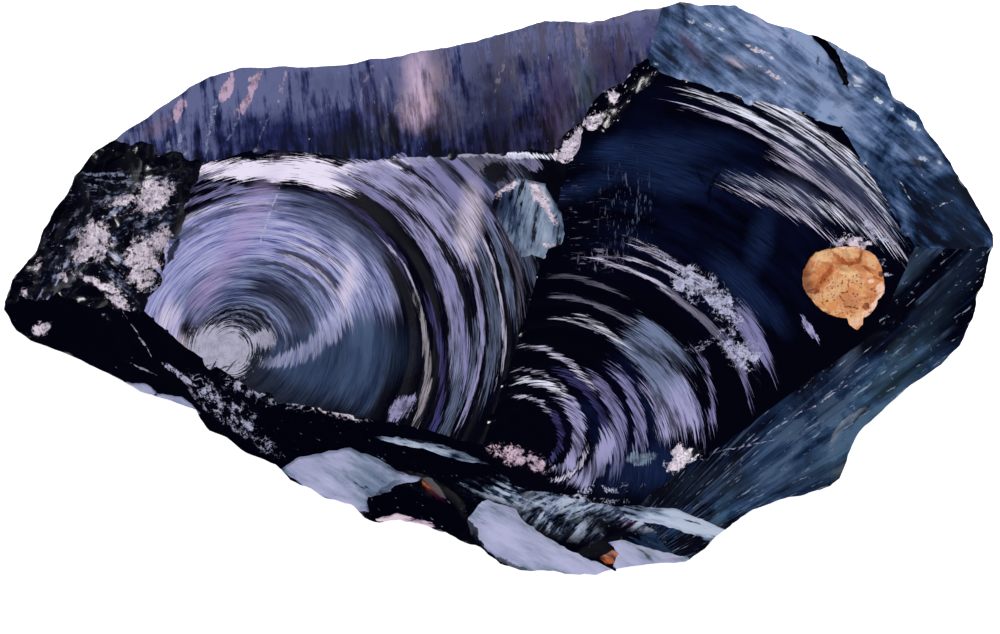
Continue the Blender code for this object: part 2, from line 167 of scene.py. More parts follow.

# Patches of colour, haze, painted sheen and crushed glass on each face, seen from above:
# across, up, half length, half width, turn, share, tone
MARKS = {
    "band": [
        (-48, 27.2, 1.9, .6, 65, .9, "pink"), (-51.2, 24.4, 2.4, 1, 28, .5, "pink_dim"),
        (-41.1, 29.8, 2.5, .7, 62, .95, "pink"), (-42.9, 26.5, 2.4, .4, 76, .8, "pale_blue"),
        (-43.6, 22.6, 2.5, .2, 80, .7, "pale_blue"), (-37.2, 30.4, 3, .6, 72, .95, "pink"),
        (-38.4, 27.4, 1.5, .7, 60, .9, "pink"), (-40.3, 23.1, 3.1, .2, 66, .7, "pale_blue"),
        (-32.6, 30.6, 2.5, .3, 76, .8, "pink_pale"), (-35.1, 24.3, 2.2, .2, 68, .5, "pale_blue"),
        (-19.7, 32.1, 1.6, .4, 58, .6, "pink_pale"), (-20.6, 29.2, 1.3, .2, 82, .4, "pink_pale"),
        (-48, 21.8, 1.9, .3, 80, .7, "pale_blue"), (-49.7, 20.9, 1.5, .4, 88, .5, "pale_blue"),
        (-12.3, 30.6, 4.4, 2.1, 92, .95, "rose"), (-12.5, 26.8, 2.7, 1.9, 80, .9, "rose"),
        (-9.5, 30.2, 5, 1.8, 84, .6, "tan"), (-31.1, 23.2, 10.4, 3, 3, .9, "navy"),
        (-17.1, 29.8, 4.4, 3.3, 70, .8, "violet"), (-20.8, 22, 5.6, 1.8, 0, .8, "olive_dark"),
        (-25.2, 30.4, 5.9, 2.1, 4, .5, "slate"), (-1.5, 26.2, 6.2, 3.9, 90, .9, "blue_black"),
        (-7.4, 26.2, 3.6, 1.3, 96, .7, "grey_mauve"), (1.5, 34.7, 4.4, 2.7, 60, .6, "grey_mauve"),
        (8.3, 28.6, 7.1, 1.9, 92, .9, "plum"), (6.4, 37.2, 2.4, 1.2, 104, .9, "grey_mauve"),
        (12.9, 30.5, 3.8, 1.3, 96, .9, "grey_teal"), (12.1, 36.7, 3.3, .6, 100, .6, "pale_mauve"),
        (16.7, 34.5, 5.9, 2.8, 80, .9, "plum_dark"), (26, 35.7, 3.5, 1.3, -58, .95, "maroon"),
        (22.9, 35.2, 4.1, 1.5, -58, .85, "haze"), (17.7, 40, 6.5, .6, 10, .8, "haze_pale"),
        (8.9, 38.2, 2.1, .4, 70, .6, "pale_mauve"), (0, 31.7, 2.7, .3, 72, .5, "pale_mauve"),
        (3, 36.1, 2.1, .4, 70, .5, "pale_mauve"), (-14.8, 28, 2.1, .6, 80, .5, "pale_mauve"),
        (-57.5, 21.3, 1.8, .7, 30, .4, "pale_mauve"), (26.5, 40, 4, 2.4, -50, .9, "steel_haze"),
    ],
    "steel": [
        (33.3, 38.3, 3.3, .845, -20, .64, "cloud"), (43.6, 31.2, 6.9, 2.34, -18, .64, "cloud"),
        (39.9, 38.3, 2.85, .585, -48, .64, "lilac"), (37.7, 40.6, 2.25, .455, -40, .72, "lilac"),
        (43.2, 37.1, 1.8, .39, -62, .56, "lilac"), (51.8, 24.9, 3.75, 1.365, -45, .56, "lilac_dim"),
        (37.7, 35.3, 2.25, .39, -25, .72, "white_pink"), (39.9, 31.9, 2.25, .39, -30, .72, "white_pink"),
        (31.8, 38.7, 2.025, .26, -20, .64, "white"), (28.1, 39.4, 1.125, .39, -20, .64, "white"),
        (30.3, 37.4, 1.575, .26, -15, .56, "white"), (34.8, 33.5, 1.575, .455, -20, .4, "white_pink"),
        (55.9, 28.2, .9, .39, -30, .72, "white"), (53, 30.1, .525, .195, 0, .56, "white"),
        (61.4, 24.4, 1.125, .39, -42, .76, "white"), (62.9, 19.3, .675, .26, -20, .64, "white"),
        (58.1, 26.7, .3, .195, 0, .56, "white"), (50, 32.6, 3, .455, -62, .776, "black"),
        (48.2, 36, 1.8, .455, -50, .72, "black"), (47, 33.7, .675, .195, 80, .72, "black"),
        (67.3, 12.4, 6.675, 2.34, -58, .56, "teal_deep"), (57, 17.3, 3.3, 1.235, -48, .6, "teal_black"),
        (63.6, 9.4, 4.425, 1.365, -20, .48, "teal_black"), (59.9, 14.9, 1.575, .13, -60, .56, "white"),
        (65.5, 12.4, 1.35, .13, 20, .56, "white"), (28.1, 35.6, 2.85, .845, -55, .72, "maroon"),
    ],
    "teal": [
        (56.2, -16.5, 11.8, 2.4, 52, .56, "teal_pale"), (51.8, -21.7, 8.9, 1.8, 40, .48, "teal_mid"),
        (63.6, -4.6, 10.4, 1.8, 52, .4, "teal_mid"), (59.9, 2.8, 5, 1.5, 45, .4, "teal_mid"),
        (67.3, -6.1, 5, 1.8, 65, .72, "black"), (68.8, 1.3, 5.9, 1.5, 70, .56, "teal_black"),
        (54, -18.3, 3.8, .3, 47, .72, "black"), (50.3, -21.2, 3, .2, 42, .64, "black"),
        (44.4, -16.5, 8.9, 3.3, 28, .56, "black"), (59.2, -9.1, 8.9, .4, 48, .4, "teal_pale"),
        (42.9, -19.4, 7.4, .1, 30, .64, "lilac_white"), (36.2, -23.3, 5, .1, 12, .56, "lilac_white"),
        (51.8, -13.2, 3.6, .1, 38, .4, "lilac_white"), (38.5, -28.3, 8.9, 2.4, 5, .4, "teal_mid"),
        (51, -27.1, 1.5, 1, 20, .56, "olive"), (53.6, -24.6, 2.1, .7, 40, .4, "olive"),
        (59.9, -23.1, .7, .4, 40, .64, "rose"), (32.8, -33.1, 3.3, .9, 62, .48, "teal_pale"),
        (51.8, -9.1, 3.6, 1.2, 75, .4, "speckle"),
    ],
    "black": [
        (-59, -4.2, .9, .4, -20, .9, "lilac"), (-69.1, -6.1, 1.6, 1, 30, .9, "crumb"),
        (-53.8, -7.3, 3.9, .1, -58, .7, "lilac_white"), (-53.8, -11.8, 2.7, .1, -25, .6, "lilac_white"),
        (-48.6, -12.4, 3, .4, -35, .9, "lilac_white"), (-50.8, -16.3, 3.3, .6, -8, .9, "lilac_white"),
        (-60.5, -12.9, 3.9, .2, -20, .5, "lilac_white"), (-45.6, -15.9, 2.7, .3, -50, .5, "lilac_white"),
        (-41, -17.3, 6, 1.8, -38, .6, "powder"), (-36.5, -15.4, 4.5, 1.2, -24, .7, "powder"),
    ],
    "front": [
        (-41, -17.3, 6, 1.8, -38, .6, "powder"), (-33.5, -15.6, 5.5, 1.1, -20, .8, "powder"),
        (-24.3, -18.1, 4, .8, -12, .9, "crumb"), (-38, -21, 5.5, 1.2, -38, .55, "powder"),
        (-10.5, -32.3, 6, 2.7, -20, .98, "black"), (-6.7, -27, 6, 1.8, -10, .8, "black"),
        (11.9, -37.5, 6.6, 2.1, -28, .97, "black"), (21.6, -35, 3.9, 1.2, -8, .9, "maroon"),
        (28.3, -36.7, 4.5, 1.8, -10, .85, "teal_black"), (33.5, -31.4, 4.5, .7, 58, .6, "teal_pale"),
        (12.6, -29.6, 7.4, .9, 0, .5, "speckle"), (14.6, -30.4, 4, .9, -12, .8, "crumb"),
        (23.6, -37.6, 4.4, 1.6, -12, .9, "teal_deep"), (29.7, -26.9, 4.5, 2.1, 0, .7, "black"),
    ],
    "crushed": [
        (-60.9, 7.3, 2.7, 2.7, 60, 1, "crumb"), (-62.3, 5.5, 2.1, 1.3, 30, 1, "crumb"),
        (-53.6, 4, 3.9, 2.5, 95, 1, "crumb"), (-50.9, 7.3, 1.8, 1.5, 60, 1, "crumb"),
        (-52, 13.9, 3, 2.1, 30, 1, "crumb"), (-55.7, 13.5, 3.3, .7, 15, .9, "crumb"),
        (-59.7, .6, 4.5, .7, -25, .9, "crumb"), (-57.4, -1.7, 2.7, .7, -30, .9, "crumb"),
        (-65.7, 2.1, 1.8, .6, -60, .7, "crumb"), (-50.9, -4.3, 2.1, 1.8, 60, .9, "crumb"),
        (-48.8, -6.9, 2.1, 1.2, -60, .9, "crumb"), (-58.6, 17.2, 5.3, .3, -3, .8, "pale_blue"),
        (-56.4, 16, 5, .2, -6, .7, "pale_blue"), (-60.1, 15.2, 2.4, .2, -20, .6, "pale_blue"),
        (-69.5, 4, 1.2, .6, 60, .6, "crumb"), (-71.8, -.9, .9, .4, 60, .7, "crumb"),
        (-73.2, -2.9, .6, .4, 80, .7, "crumb"), (-58, 11, 3, .1, 5, .5, "crumb"),
        (-67.6, 8.8, 1.8, .1, 60, .5, "pale_blue"),
    ],
    "lobe": [
        (5.6, 13.9, 2.4, 1, -60, 1, "crumb"), (.7, 15.4, 2.7, 1.2, 40, .9, "crumb"),
        (7.4, 10.9, 1.8, .7, -60, 1, "crumb"), (7.1, 6.5, 1.5, .4, 0, .9, "crumb"),
    ],
    "break": [
        (13.6, 24.2, 2.7, 1, 35, 1, "crumb"), (10.3, 20.8, 2.7, 1.3, 50, 1, "crumb"),
        (16.7, 28.3, 1, .9, 45, 1, "crumb"), (8.1, 18.3, 1.8, 1.3, 40, .9, "crumb"),
        (11.1, 19, 1.8, .9, 40, .8, "crumb"), (8.9, 16.1, 6.5, .9, 28, .7, "grey_teal"),
    ],
    # the teal, navy and grey sheen hazes are painted sheen on the black glass; powder and crumb are crushed
    # glass
    "great": [
        (23.6, 20.4, 8.8, 2.1, 5, .8, "teal_sheen_haze"), (16.9, 20.7, 2.4, 1.6, 30, .9, "teal_sheen_haze"),
        (25, 16.3, 5, 2.4, -10, .8, "teal_sheen_haze"), (36.1, 16, 5, 1.3, -15, .7, "teal_sheen_haze"),
        (20.6, 24.8, 4.4, 1.8, 50, .6, "navy_sheen_haze"), (38.6, 7.4, 4.4, 1.6, 75, .7, "teal_sheen_haze"),
        (41.7, 8.6, 3.2, 1.5, -70, .7, "navy_sheen_haze"), (47.2, 18.2, 6.8, 1.9, -42, .5, "grey_sheen_haze"),
        (52.3, 13.8, 5, 2.4, -55, .55, "grey_sheen_haze"), (44.2, 13.8, 3.8, 1.5, -35, .8, "grey_sheen_haze"),
        (35.4, .5, 5, 1.8, -52, .8, "teal_sheen_haze"), (39.9, -3.2, 3.8, 1.2, -55, .6, "teal_sheen_haze"),
        (24.8, 11.6, 1.8, 1.2, 60, .7, "navy_sheen_haze"), (13.3, 15.3, 5.9, 1.3, 20, .6, "teal_sheen_haze"),
        (20.7, -26.8, 5.9, 2.7, 10, .7, "teal_sheen_haze"), (45.7, -5.8, 2.1, .5, -58, .95, "lilac"),
        (31.4, 15.7, 2.1, .3, 60, .7, "black"), (29.5, 16.3, 1.3, .2, -60, .6, "black"),
        (30.8, 13.8, 1.4, .3, 84, .7, "black"), (29.5, .5, 4.4, 1.9, -35, 1, "powder"),
        (32.5, -1.7, 2.7, 1.6, -20, 1, "powder"), (26.6, .5, 1.3, 1, -60, 1, "powder"),
        (28.5, -1, 1.3, 1, -60, 1, "powder"), (34, -4.3, 2.4, 1.3, -30, .8, "powder"),
        (35.2, -9.1, 3.3, 1.8, -50, .9, "powder"), (36.9, -9.8, 1.8, 1.5, 40, .9, "powder"),
        (25.8, 3.5, 3.2, .4, -32, .9, "powder"), (29.5, -8.3, 2.4, .7, 20, .4, "powder"),
        (26.3, -25.4, 1.9, 1.5, 60, 1, "crumb"), (28.4, -25.7, 1.8, .6, 20, .8, "powder"),
        (25.9, -24.6, 1.5, .7, 60, 1, "crumb"), (2.4, -24.7, 3.8, 1.3, -18, .8, "crumb_pink"),
        (5.2, -25.6, 2.1, 1.2, -30, .65, "crumb_pink"), (20.7, -25, 2.1, 1, 10, .8, "ice_grey"),
        (52.5, 6.9, 2.4, .9, -10, .8, "crumb"), (50.2, 6.7, 1.2, .6, 30, .9, "powder"),
        (56.9, 7.2, 2.1, .4, -15, .8, "powder"), (56.5, 3.9, .7, .6, 0, .9, "powder"),
        (54.7, 9, 1.8, .4, -50, .8, "powder"), (57.6, 2, .6, .3, 0, .6, "powder"),
        (8.9, -30.9, 8.9, .6, -3, .5, "powder"), (16.3, -29.4, 4.4, .6, 4, .5, "powder"),
    ],
    # on the left scar the bulb, rose_lilac and teal_hollow patches are painted reflections; the rose_white
    # patches of crushed glass and the dark hairlines are marks of the glass itself
    "left": [
        (-42.9, -10.3, 1.3, .14, -55, .8, "olive_dark"), (-41.6, -10.5, 1.6, .12, -60, .8, "olive_dark"),
        (-40, -10.2, 1.2, .12, 40, .8, "olive_dark"), (-43.8, -11.4, 1, .12, -48, .8, "olive_dark"),
        (-39.3, -11.6, .9, .12, 45, .8, "olive_dark"), (-41, -11.9, 1.1, .12, 10, .8, "olive_dark"),
        (-39.2, 7.2, 9.8, 1.8, 62, .8, "rose_lilac"), (-44.5, -.6, 3, 1.2, 50, .7, "rose_lilac"),
        (-34.4, 10.8, 4.2, .16, 70, .8, "lilac_white"), (-41.7, -9.4, 5.1, 4.2, 0, 1, "bulb"),
        (-35.1, -7.6, 1.8, 1.5, 0, .8, "bulb"), (-25.2, -10.9, 8.9, 4.5, 12, .95, "teal_hollow"),
        (-14.4, -17.7, 2.4, 1.2, 52, .8, "lilac"), (-4.4, 10.9, 3.9, 1.5, 85, .9, "rose_white"),
        (-5.2, 5.7, 1.8, 1, -60, .8, "rose_white"), (-.6, 17.3, 2.1, 1.5, 0, .97, "black"),
        (3.7, 18.6, 2.7, .9, -20, .5, "lilac"), (-22.6, .8, 3, .9, 75, .95, "rose_white"),
        (-49.8, -4.6, 2.4, 1.5, 70, .8, "rose_white"), (-47.6, -8.4, 1.8, .9, -60, .8, "rose_white"),
        (-48.3, 8, 3.6, 1.3, 15, .7, "slate"), (-50.5, 5.8, 2.7, .7, 60, .8, "crumb"),
        (-48.8, 5.8, 2.1, .6, 60, .9, "black"), (-48, 13.9, 2.7, 1.3, 20, .7, "black"),
        (-45.3, -11.3, 1.7, .16, -50, .9, "black"), (-44.2, -12, 1.5, .14, 35, .9, "black"),
        (-42.9, -11.9, 1.7, .16, 60, .9, "black"), (-41.4, -11.9, 1.4, .13, 20, .8, "black"),
        (-40, -11.5, 1.6, .14, 45, .8, "black"),
    ],
}

# dark feathers that cut into the two large pale facets of the front, in the same columns
FEATHERS = [
    (-4, -36, 2.6, .5, -64, .9, "ink"), (-2.7, -38.6, 2.6, .5, -62, .9, "ink"),
    (-14.6, -26.9, 2.6, .5, -20, .7, "slate"), (-17, -29.9, 2.2, .5, 28, .6, "slate"),
    (3, -41.8, 4, .5, -24, .7, "ink"),
]

# smears of powder over the crushed corner, and plumes of haze over the front:
# across, up, half length, half width, turn, and the way they run
DUST = [
    (-57, 15.5, 7.5, 2, 8, 8), (-60, 9.5, 7.5, 3.2, 25, 35), (-54.5, 1.5, 7.5, 2.6, -35, -38),
    (-66.5, 1.5, 6, 2.4, 55, 60), (-51, 10, 3.5, 3, 60, 20),
]
PLUMES = [
    (3.4, -30.4, 6.5, 1.7, -8, -24), (11, -31.4, 6.5, 2.2, 0, 24), (8.5, -34, 5, 2, -20, 52),
    (20, -33.6, 5, 1.6, -14, 30), (25, -31, 5, 1.2, -10, 10),
]

# Crisp facets seen from above, each a shallow flake off its face: name, stuff, depth, outline;
# the ice and ice_streaked facets are pale with a painted reflection
FACETS = [
    ("front_pale_a", "ice", .9, [
        (-32.7, -26.9), (-30.4, -25.3), (-26.7, -24.4), (-22.3, -23.6), (-17.8, -25.3), (-15.3, -26.9),
        (-11.6, -28), (-13.7, -29.4), (-19.7, -31.1), (-19.6, -33.3), (-21.5, -33), (-23.8, -31.8),
        (-26.7, -30.9), (-29.2, -29.4),
    ]),
    ("front_pale_b", "ice", .9, [
        (-4.9, -34), (-4.5, -32.2), (-1.9, -31.1), (2.5, -32.6), (3.4, -34.4), (6.2, -36.3), (8.9, -38.1),
        (11.9, -39.6), (14.6, -40.8), (18.2, -42.4), (10.9, -43.3), (7.4, -43.2), (3, -42.1), (.4, -40.7),
        (-1.3, -39.3), (-3.3, -37.8), (-4.5, -35.9),
    ]),
    ("front_pale_c", "ice", .8, [
        (16, -37.5), (17.9, -37.2), (20.9, -38.2), (24.3, -39), (28.6, -40), (26.8, -41.2), (22.4, -42.5),
        (18.2, -43.1), (16.7, -41.2), (17.6, -39.4),
    ]),
    ("front_pale_d", "ice_streaked", .7, [
        (16.4, -33.4), (18.3, -31.9), (23.4, -32.3), (26, -32.5), (29.8, -34.1), (34.2, -36.2),
        (30.8, -37.4), (27.8, -36.2), (23.4, -34.7), (19.8, -34.3),
    ]),
    ("front_sliver", "ice_streaked", .35, [
        (-18.8, -22), (-15.2, -22), (-10.8, -22.5), (-6.7, -23.6), (-1.5, -25.9), (-5.9, -25.4),
        (-10.8, -23.7), (-15.2, -23),
    ]),
    ("front_amber_a", "amber", .5, [
        (-11.9, -28), (-10.2, -28.1), (-8.9, -29.4), (-7.7, -31.8), (-9.4, -31.2), (-10.8, -30),
    ]),
    ("front_amber_b", "amber", .4, [
        (14.8, -40), (16.6, -38.8), (18.3, -39.5), (17.5, -41), (15.7, -40.9),
    ]),
    ("left_pale_a", "ice", .5, [
        (-57, -13.9), (-52.8, -14.3), (-51.4, -15.5), (-53.1, -16.7), (-56.4, -15.8),
    ]),
    ("left_pale_b", "ice", .5, [
        (-51.5, -15.6), (-47.4, -16.2), (-44.7, -18.5), (-46.7, -19.9), (-50, -18.3),
    ]),
    ("lobe_scar", "lobe", .9, [
        (-.6, 14.2), (2.7, 16.4), (6.6, 15.4), (7.8, 13.2), (9, 11), (9.6, 6.7), (6, 5.4), (3.1, 4.6),
        (1.6, 7), (0, 9.8), (-1.3, 12.1),
    ]),
    ("steel_notch", "black", 1.1, [
        (45.4, 38.4), (47.6, 37.6), (49.8, 35.4), (51.4, 32.4), (51.8, 29.4), (51, 30.4), (50, 32.8),
        (48.4, 35.2), (46.6, 37),
    ]),
    ("front_pink", "pink", .3, [
        (-18.6, -34.3), (-15.2, -33.4), (-10.1, -34.6), (-8.9, -36.3), (-12.7, -36.6), (-17.2, -36.1),
    ]),
]

# The nodule about its own middle: its rim, the corners of its folded plates (across, up, height), and its
# marks in the columns of MARKS
NODULE_RIM = [
    (-6.12, -.07, .1), (-6.12, 1.85, .2), (-5.38, 3.47, .35), (-4.05, 4.8, .45), (-1.98, 5.25, .5),
    (.24, 5.62, .5), (2.75, 5.25, .5), (4.37, 4.51, .4), (5.41, 2.88, .3), (5.85, .96, .2), (6, -1.26, .15),
    (5.11, -2.29, .15), (4.23, -4.06, .1), (2.9, -5.1, .1), (2.9, -5.99, 0), (2.01, -6.72, 0),
    (.83, -5.99, 0), (.53, -4.95, .05), (-1.83, -4.51, .05), (-3.61, -3.47, .05), (-4.94, -2, .05),
    (-5.68, -1.11, .05),
]
NODULE_CREST = [
    (-1.98, 4.88, .85), (2.75, 4.88, .85), (.38, 5.1, .72), (1.12, 3.69, .62), (-.5, 3.92, .12),
    (.53, 3.4, .1), (2.16, 4.14, .1), (1.71, 3.33, .12), (-.35, 2.96, .85), (2.6, 3.03, .7),
    (-1.09, 3.33, .62), (-2.13, 3.33, .6), (-4.2, 3.4, .72), (-3.9, 4.43, .6), (-2.28, 2.59, .2),
    (-3.31, 1.26, .08), (-3.9, -.07, .02), (-4.35, -1.11, .02), (-1.68, 1.55, .62), (-2.87, .07, .56),
    (-3.46, -1.4, .45), (-4.64, 2.14, .42), (-5.9, 1.26, .02), (-4.64, 1.55, .02), (-4.35, .67, .52),
    (-5.68, .07, .3), (-5.31, -.96, -.02), (-5.23, 2.73, .45), (.83, 1.55, -.02), (2.45, 1.7, 0),
    (3.78, .52, .3), (-.95, .22, .32), (.24, -.37, 0), (1.12, -2, .66), (-.21, -2.14, .02),
    (-1.54, -2.29, 0), (.09, -3.62, -.02), (1.86, -3.62, -.02), (3.19, -3.33, -.28), (4.23, -1.7, .32),
    (5.26, -.52, .34), (3.78, 2.59, .62), (3.49, 2, .08), (4.67, 1.7, .1), (5.56, .52, .1),
    (4.67, 3.33, .55), (-2.13, -3.47, .2), (-3.31, -2.44, .3), (-.95, 2.14, .3), (1.27, 2.59, .12),
    (4.08, -3.18, .2), (1.86, -4.95, .25), (2.6, -.67, .2), (2.01, -5.99, .15),
]
# the fold tones are painted shade down in the folds, and the cream marks are partly painted light on the tops
# of the plates
NODULE_MARKS = [
    (-.5, 3.84, 1.55, .44, -34, .95, "fold_shade"), (.83, 3.21, 1.33, .3, 0, .95, "fold_shade"),
    (2.28, 4.06, 1.01, .41, 76, .95, "fold_shade"), (-2.94, 1.03, 2.36, .53, 55, .95, "rust"),
    (-2.72, 1.4, 1.92, .3, 53, .9, "fold_shade"), (-4.05, -.67, .74, .38, 80, .8, "fold_shade"),
    (-1.91, .74, 2.66, .1, 54, .9, "cream"), (-4.35, 2.59, 1.33, .1, 68, .7, "cream"),
    (-5.38, 1.4, .89, .25, 20, .85, "fold_shade"), (-4.64, -.96, .89, .41, 5, .85, "deep_fold_shade"),
    (-5.23, 2.59, .89, .89, 0, .6, "rust"), (-5.38, .22, .89, .74, 0, .6, "rust"),
    (-.95, 3.47, .74, .38, 40, .5, "rust"), (3.49, 2.14, 1.18, .16, -35, .8, "fold_shade"),
    (4.97, .96, .89, .19, -20, .8, "fold_shade"), (5.48, 1.55, .41, .38, 0, .95, "umber"),
    (1.12, -2.14, 1.4, 1.18, 0, .85, "clay"), (-2.42, -2.73, 1.18, .89, -20, .6, "ochre"),
    (2.6, -.81, .89, 1.03, 0, .5, "ochre"), (.98, 1.4, 1.33, .74, -10, .9, "cream"),
    (-.95, .07, 1.33, 1.18, 0, .6, "cream"), (-3.46, 4.21, 1.33, .59, 12, .85, "cream"),
    (.53, 4.73, 1.92, .68, 0, .9, "cream"), (4.23, 3.33, .89, 1.18, 30, .6, "cream"),
    (5.26, -.81, .68, 1.18, 0, .9, "blush"), (4.67, -2.88, .59, 1.33, -35, .9, "blush"),
    (3.49, -4.51, .89, .53, 42, .8, "blush"), (1.86, -5.69, 1.03, .74, 0, .5, "blush"),
    (3.78, .52, .53, .27, 0, .9, "blush"), (.24, 5.45, 2.36, .19, 0, .8, "blush"),
    (-.13, -2.14, .81, .13, -62, .8, "umber"), (1.12, -3.41, 1.11, .15, -17, .85, "umber"),
    (.61, .07, .74, .12, 88, .8, "fold_shade"), (.24, -1.11, .52, .1, 25, .8, "fold_shade"),
    (3.19, -3.33, .74, .53, -10, .85, "umber"), (1.86, 1.4, .19, .13, 30, .8, "umber"),
    (.24, 1.26, .15, .24, 0, .7, "fold_shade"), (-1.39, -2.29, .35, .12, 20, .6, "umber"),
    (-.35, -4.21, .21, .12, 0, .8, "umber"), (-1.24, -4.06, .16, .1, 0, .8, "fold_shade"),
    (-2.13, -2.88, .15, .1, 0, .7, "fold_shade"), (2.01, -6.87, .59, .21, 0, .8, "umber"),
]

# sRGB colours of the glass, its hazes and its broken bits, and of the reflections, highlights and shade
# painted on them
TONES = {
    "pink": (192, 164, 190), "pink_dim": (130, 110, 130), "pale_blue": (150, 160, 190),
    "pink_pale": (170, 150, 170), "rose": (216, 188, 214), "tan": (145, 122, 128), "navy": (20, 26, 72),
    "violet": (85, 85, 125), "olive_dark": (26, 30, 40), "slate": (62, 68, 100), "blue_black": (16, 18, 44),
    "grey_mauve": (85, 82, 100), "plum": (70, 58, 92), "grey_teal": (70, 84, 98),
    "pale_mauve": (140, 130, 150), "plum_dark": (58, 46, 66), "maroon": (58, 14, 48), "haze": (80, 82, 130),
    "haze_pale": (120, 115, 150), "cloud": (128, 144, 184), "lilac": (160, 158, 200),
    "lilac_dim": (122, 138, 172), "white_pink": (222, 206, 216), "white": (212, 222, 232),
    "black": (2, 2, 13), "teal_deep": (34, 56, 88), "teal_black": (9, 23, 50), "teal_pale": (75, 110, 135),
    "teal_mid": (66, 86, 112), "lilac_white": (190, 185, 215), "olive": (85, 90, 85),
    "speckle": (90, 105, 125), "ice": (182, 192, 212), "ice_grey": (125, 142, 166), "amber": (186, 100, 56),
    "crumb": (230, 216, 230), "crumb_pink": (206, 176, 192), "teal_sheen_haze": (26, 42, 80),
    "navy_sheen_haze": (5, 9, 34), "night": (10, 20, 52), "grey_sheen_haze": (74, 80, 112),
    "rose_lilac": (168, 150, 196), "bulb": (176, 174, 196), "teal_hollow": (50, 68, 100),
    "rose_white": (224, 210, 230), "lavender": (134, 132, 178), "bright": (226, 228, 246),
    "pale": (200, 194, 220), "dusk": (64, 62, 112), "steel": (112, 124, 156), "grey": (112, 108, 130),
    "ink": (4, 5, 20), "sand": (160, 152, 162), "glow": (236, 228, 248), "side": (6, 8, 18),
    "fold_shade": (150, 78, 34), "deep_fold_shade": (122, 42, 20), "rust": (186, 104, 62), "umber": (84, 40, 26),
    "clay": (206, 138, 98), "ochre": (212, 146, 76), "cream": (228, 188, 142), "blush": (244, 208, 190),
    "crust": (208, 138, 88), "wash": (134, 138, 190), "deep": (18, 30, 80), "mid": (72, 78, 138),
    "sheen_white": (188, 188, 222), "sea": (44, 58, 88), "sea_dark": (20, 28, 54), "sea_pale": (72, 92, 124),
    "well": (14, 18, 50), "well_mid": (60, 72, 114), "well_pale": (132, 142, 180), "band_low": (10, 16, 54),
    "band_mid": (40, 47, 92), "band_high": (96, 102, 142), "mauve_dark": (34, 30, 56),
    "powder": (178, 180, 208), "pale_ice": (164, 168, 200), "steel_haze": (96, 112, 148),
    "steel_pale": (128, 146, 182), "steel_mid": (74, 96, 134), "steel_dark": (20, 42, 74),
}

# ---------------------------------------------------------------- shapes

def fbm(points, scale, octaves, seed):
    """Smooth noise, about -1 to 1, at each point (an array of x, y)."""
    return np.array([
        noise.fractal(Vector((x * scale + seed, y * scale - seed, 2 * seed)), 0.8, 2.1, octaves)
        for x, y in points
    ])


def smooth(value, low, high):
    """0 below low, 1 above high, and a smooth rise between them."""
    share = np.clip((value - low) / (high - low), 0, 1)
    return share * share * (3 - 2 * share)


def scatter(cell_x, cell_y, seed):
    """An even, repeatable number from 0 to 1 for each cell."""
    value = np.sin(cell_x * 127.1 + cell_y * 311.7 + seed * 74.7) * 43758.5453
    return value - np.floor(value)


def scoops(flat, cell, deep, seed):
    """Many small flake scars side by side: the lowest of shallow bowls with scattered centres."""
    x, y = flat[:, 0] / cell, flat[:, 1] / cell
    cell_x, cell_y = np.floor(x), np.floor(y)
    best = np.full(len(flat), 9.0)
    for step_x in (-2, -1, 0, 1, 2):
        for step_y in (-2, -1, 0, 1, 2):
            at_x, at_y = cell_x + step_x, cell_y + step_y
            away_x = x - at_x - scatter(at_x, at_y, seed)
            away_y = y - at_y - scatter(at_x, at_y, seed + 1)
            tilt_x = scatter(at_x, at_y, seed + 2) - 0.5
            tilt_y = scatter(at_x, at_y, seed + 3) - 0.5
            rise = away_x ** 2 + away_y ** 2 + 1.3 * (tilt_x * away_x + tilt_y * away_y)
            best = np.minimum(best, rise + 0.7 * scatter(at_x, at_y, seed + 4))
    return (best - 0.35) * deep


def compass(angle):
    """A level step of length 1 towards a compass angle."""
    return Vector((math.cos(math.radians(angle)), math.sin(math.radians(angle)), 0))


def facing(faces, lean):
    """The turn that leans straight up over towards this compass angle, without spinning it."""
    spin = Matrix.Rotation(math.radians(faces), 4, "Z")
    return spin @ Matrix.Rotation(math.radians(lean), 4, "Y") @ spin.inverted()


def divided(outline, step):
    """A closed outline with its points about this far apart."""
    points = []
    for (x0, y0), (x1, y1) in zip(outline, outline[1:] + outline[:1]):
        pieces = max(1, round(math.hypot(x1 - x0, y1 - y0) / step))
        points += [(x0 + (x1 - x0) * i / pieces, y0 + (y1 - y0) * i / pieces) for i in range(pieces)]
    return points


def circle(reach, ways, size, level):
    """Points round a rim that has been drawn in to a share of its reach."""
    return [(r * size * math.cos(w), r * size * math.sin(w), level) for r, w in zip(reach, ways)]


def strip(low, high, count, inward=False):
    """The faces between two rings of points, given the first number of each ring."""
    steps = [(i, (i + 1) % count) for i in range(count)]
    if inward:
        return [(low + i, high + i, high + j, low + j) for i, j in steps]
    return [(low + i, low + j, high + j, high + i) for i, j in steps]


def tip(point, ring, count):
    """The faces between one point and a ring of points."""
    return [(point, ring + (i + 1) % count, ring + i) for i in range(count)]


def cap(first, count):
    """One face over a ring of points."""
    return tuple(range(first, first + count))


def solid(name, verts, faces, matrix, stuff):
    """An object of one material, from points in the tables' millimetres."""
    mesh = bpy.data.meshes.new(name)
    mesh.from_pydata([tuple(v) for v in verts], [], faces)
    mesh.materials.append(stuff)
    mesh.transform(matrix)
    mesh.validate()
    return bpy.data.objects.new(name, mesh)


def outward(thing):
    """Turns every face of a closed mesh to look outwards."""
    bm = bmesh.new()
    bm.from_mesh(thing.data)
    bmesh.ops.recalc_face_normals(bm, faces=bm.faces)
    bm.to_mesh(thing.data)
    bm.free()
    return thing


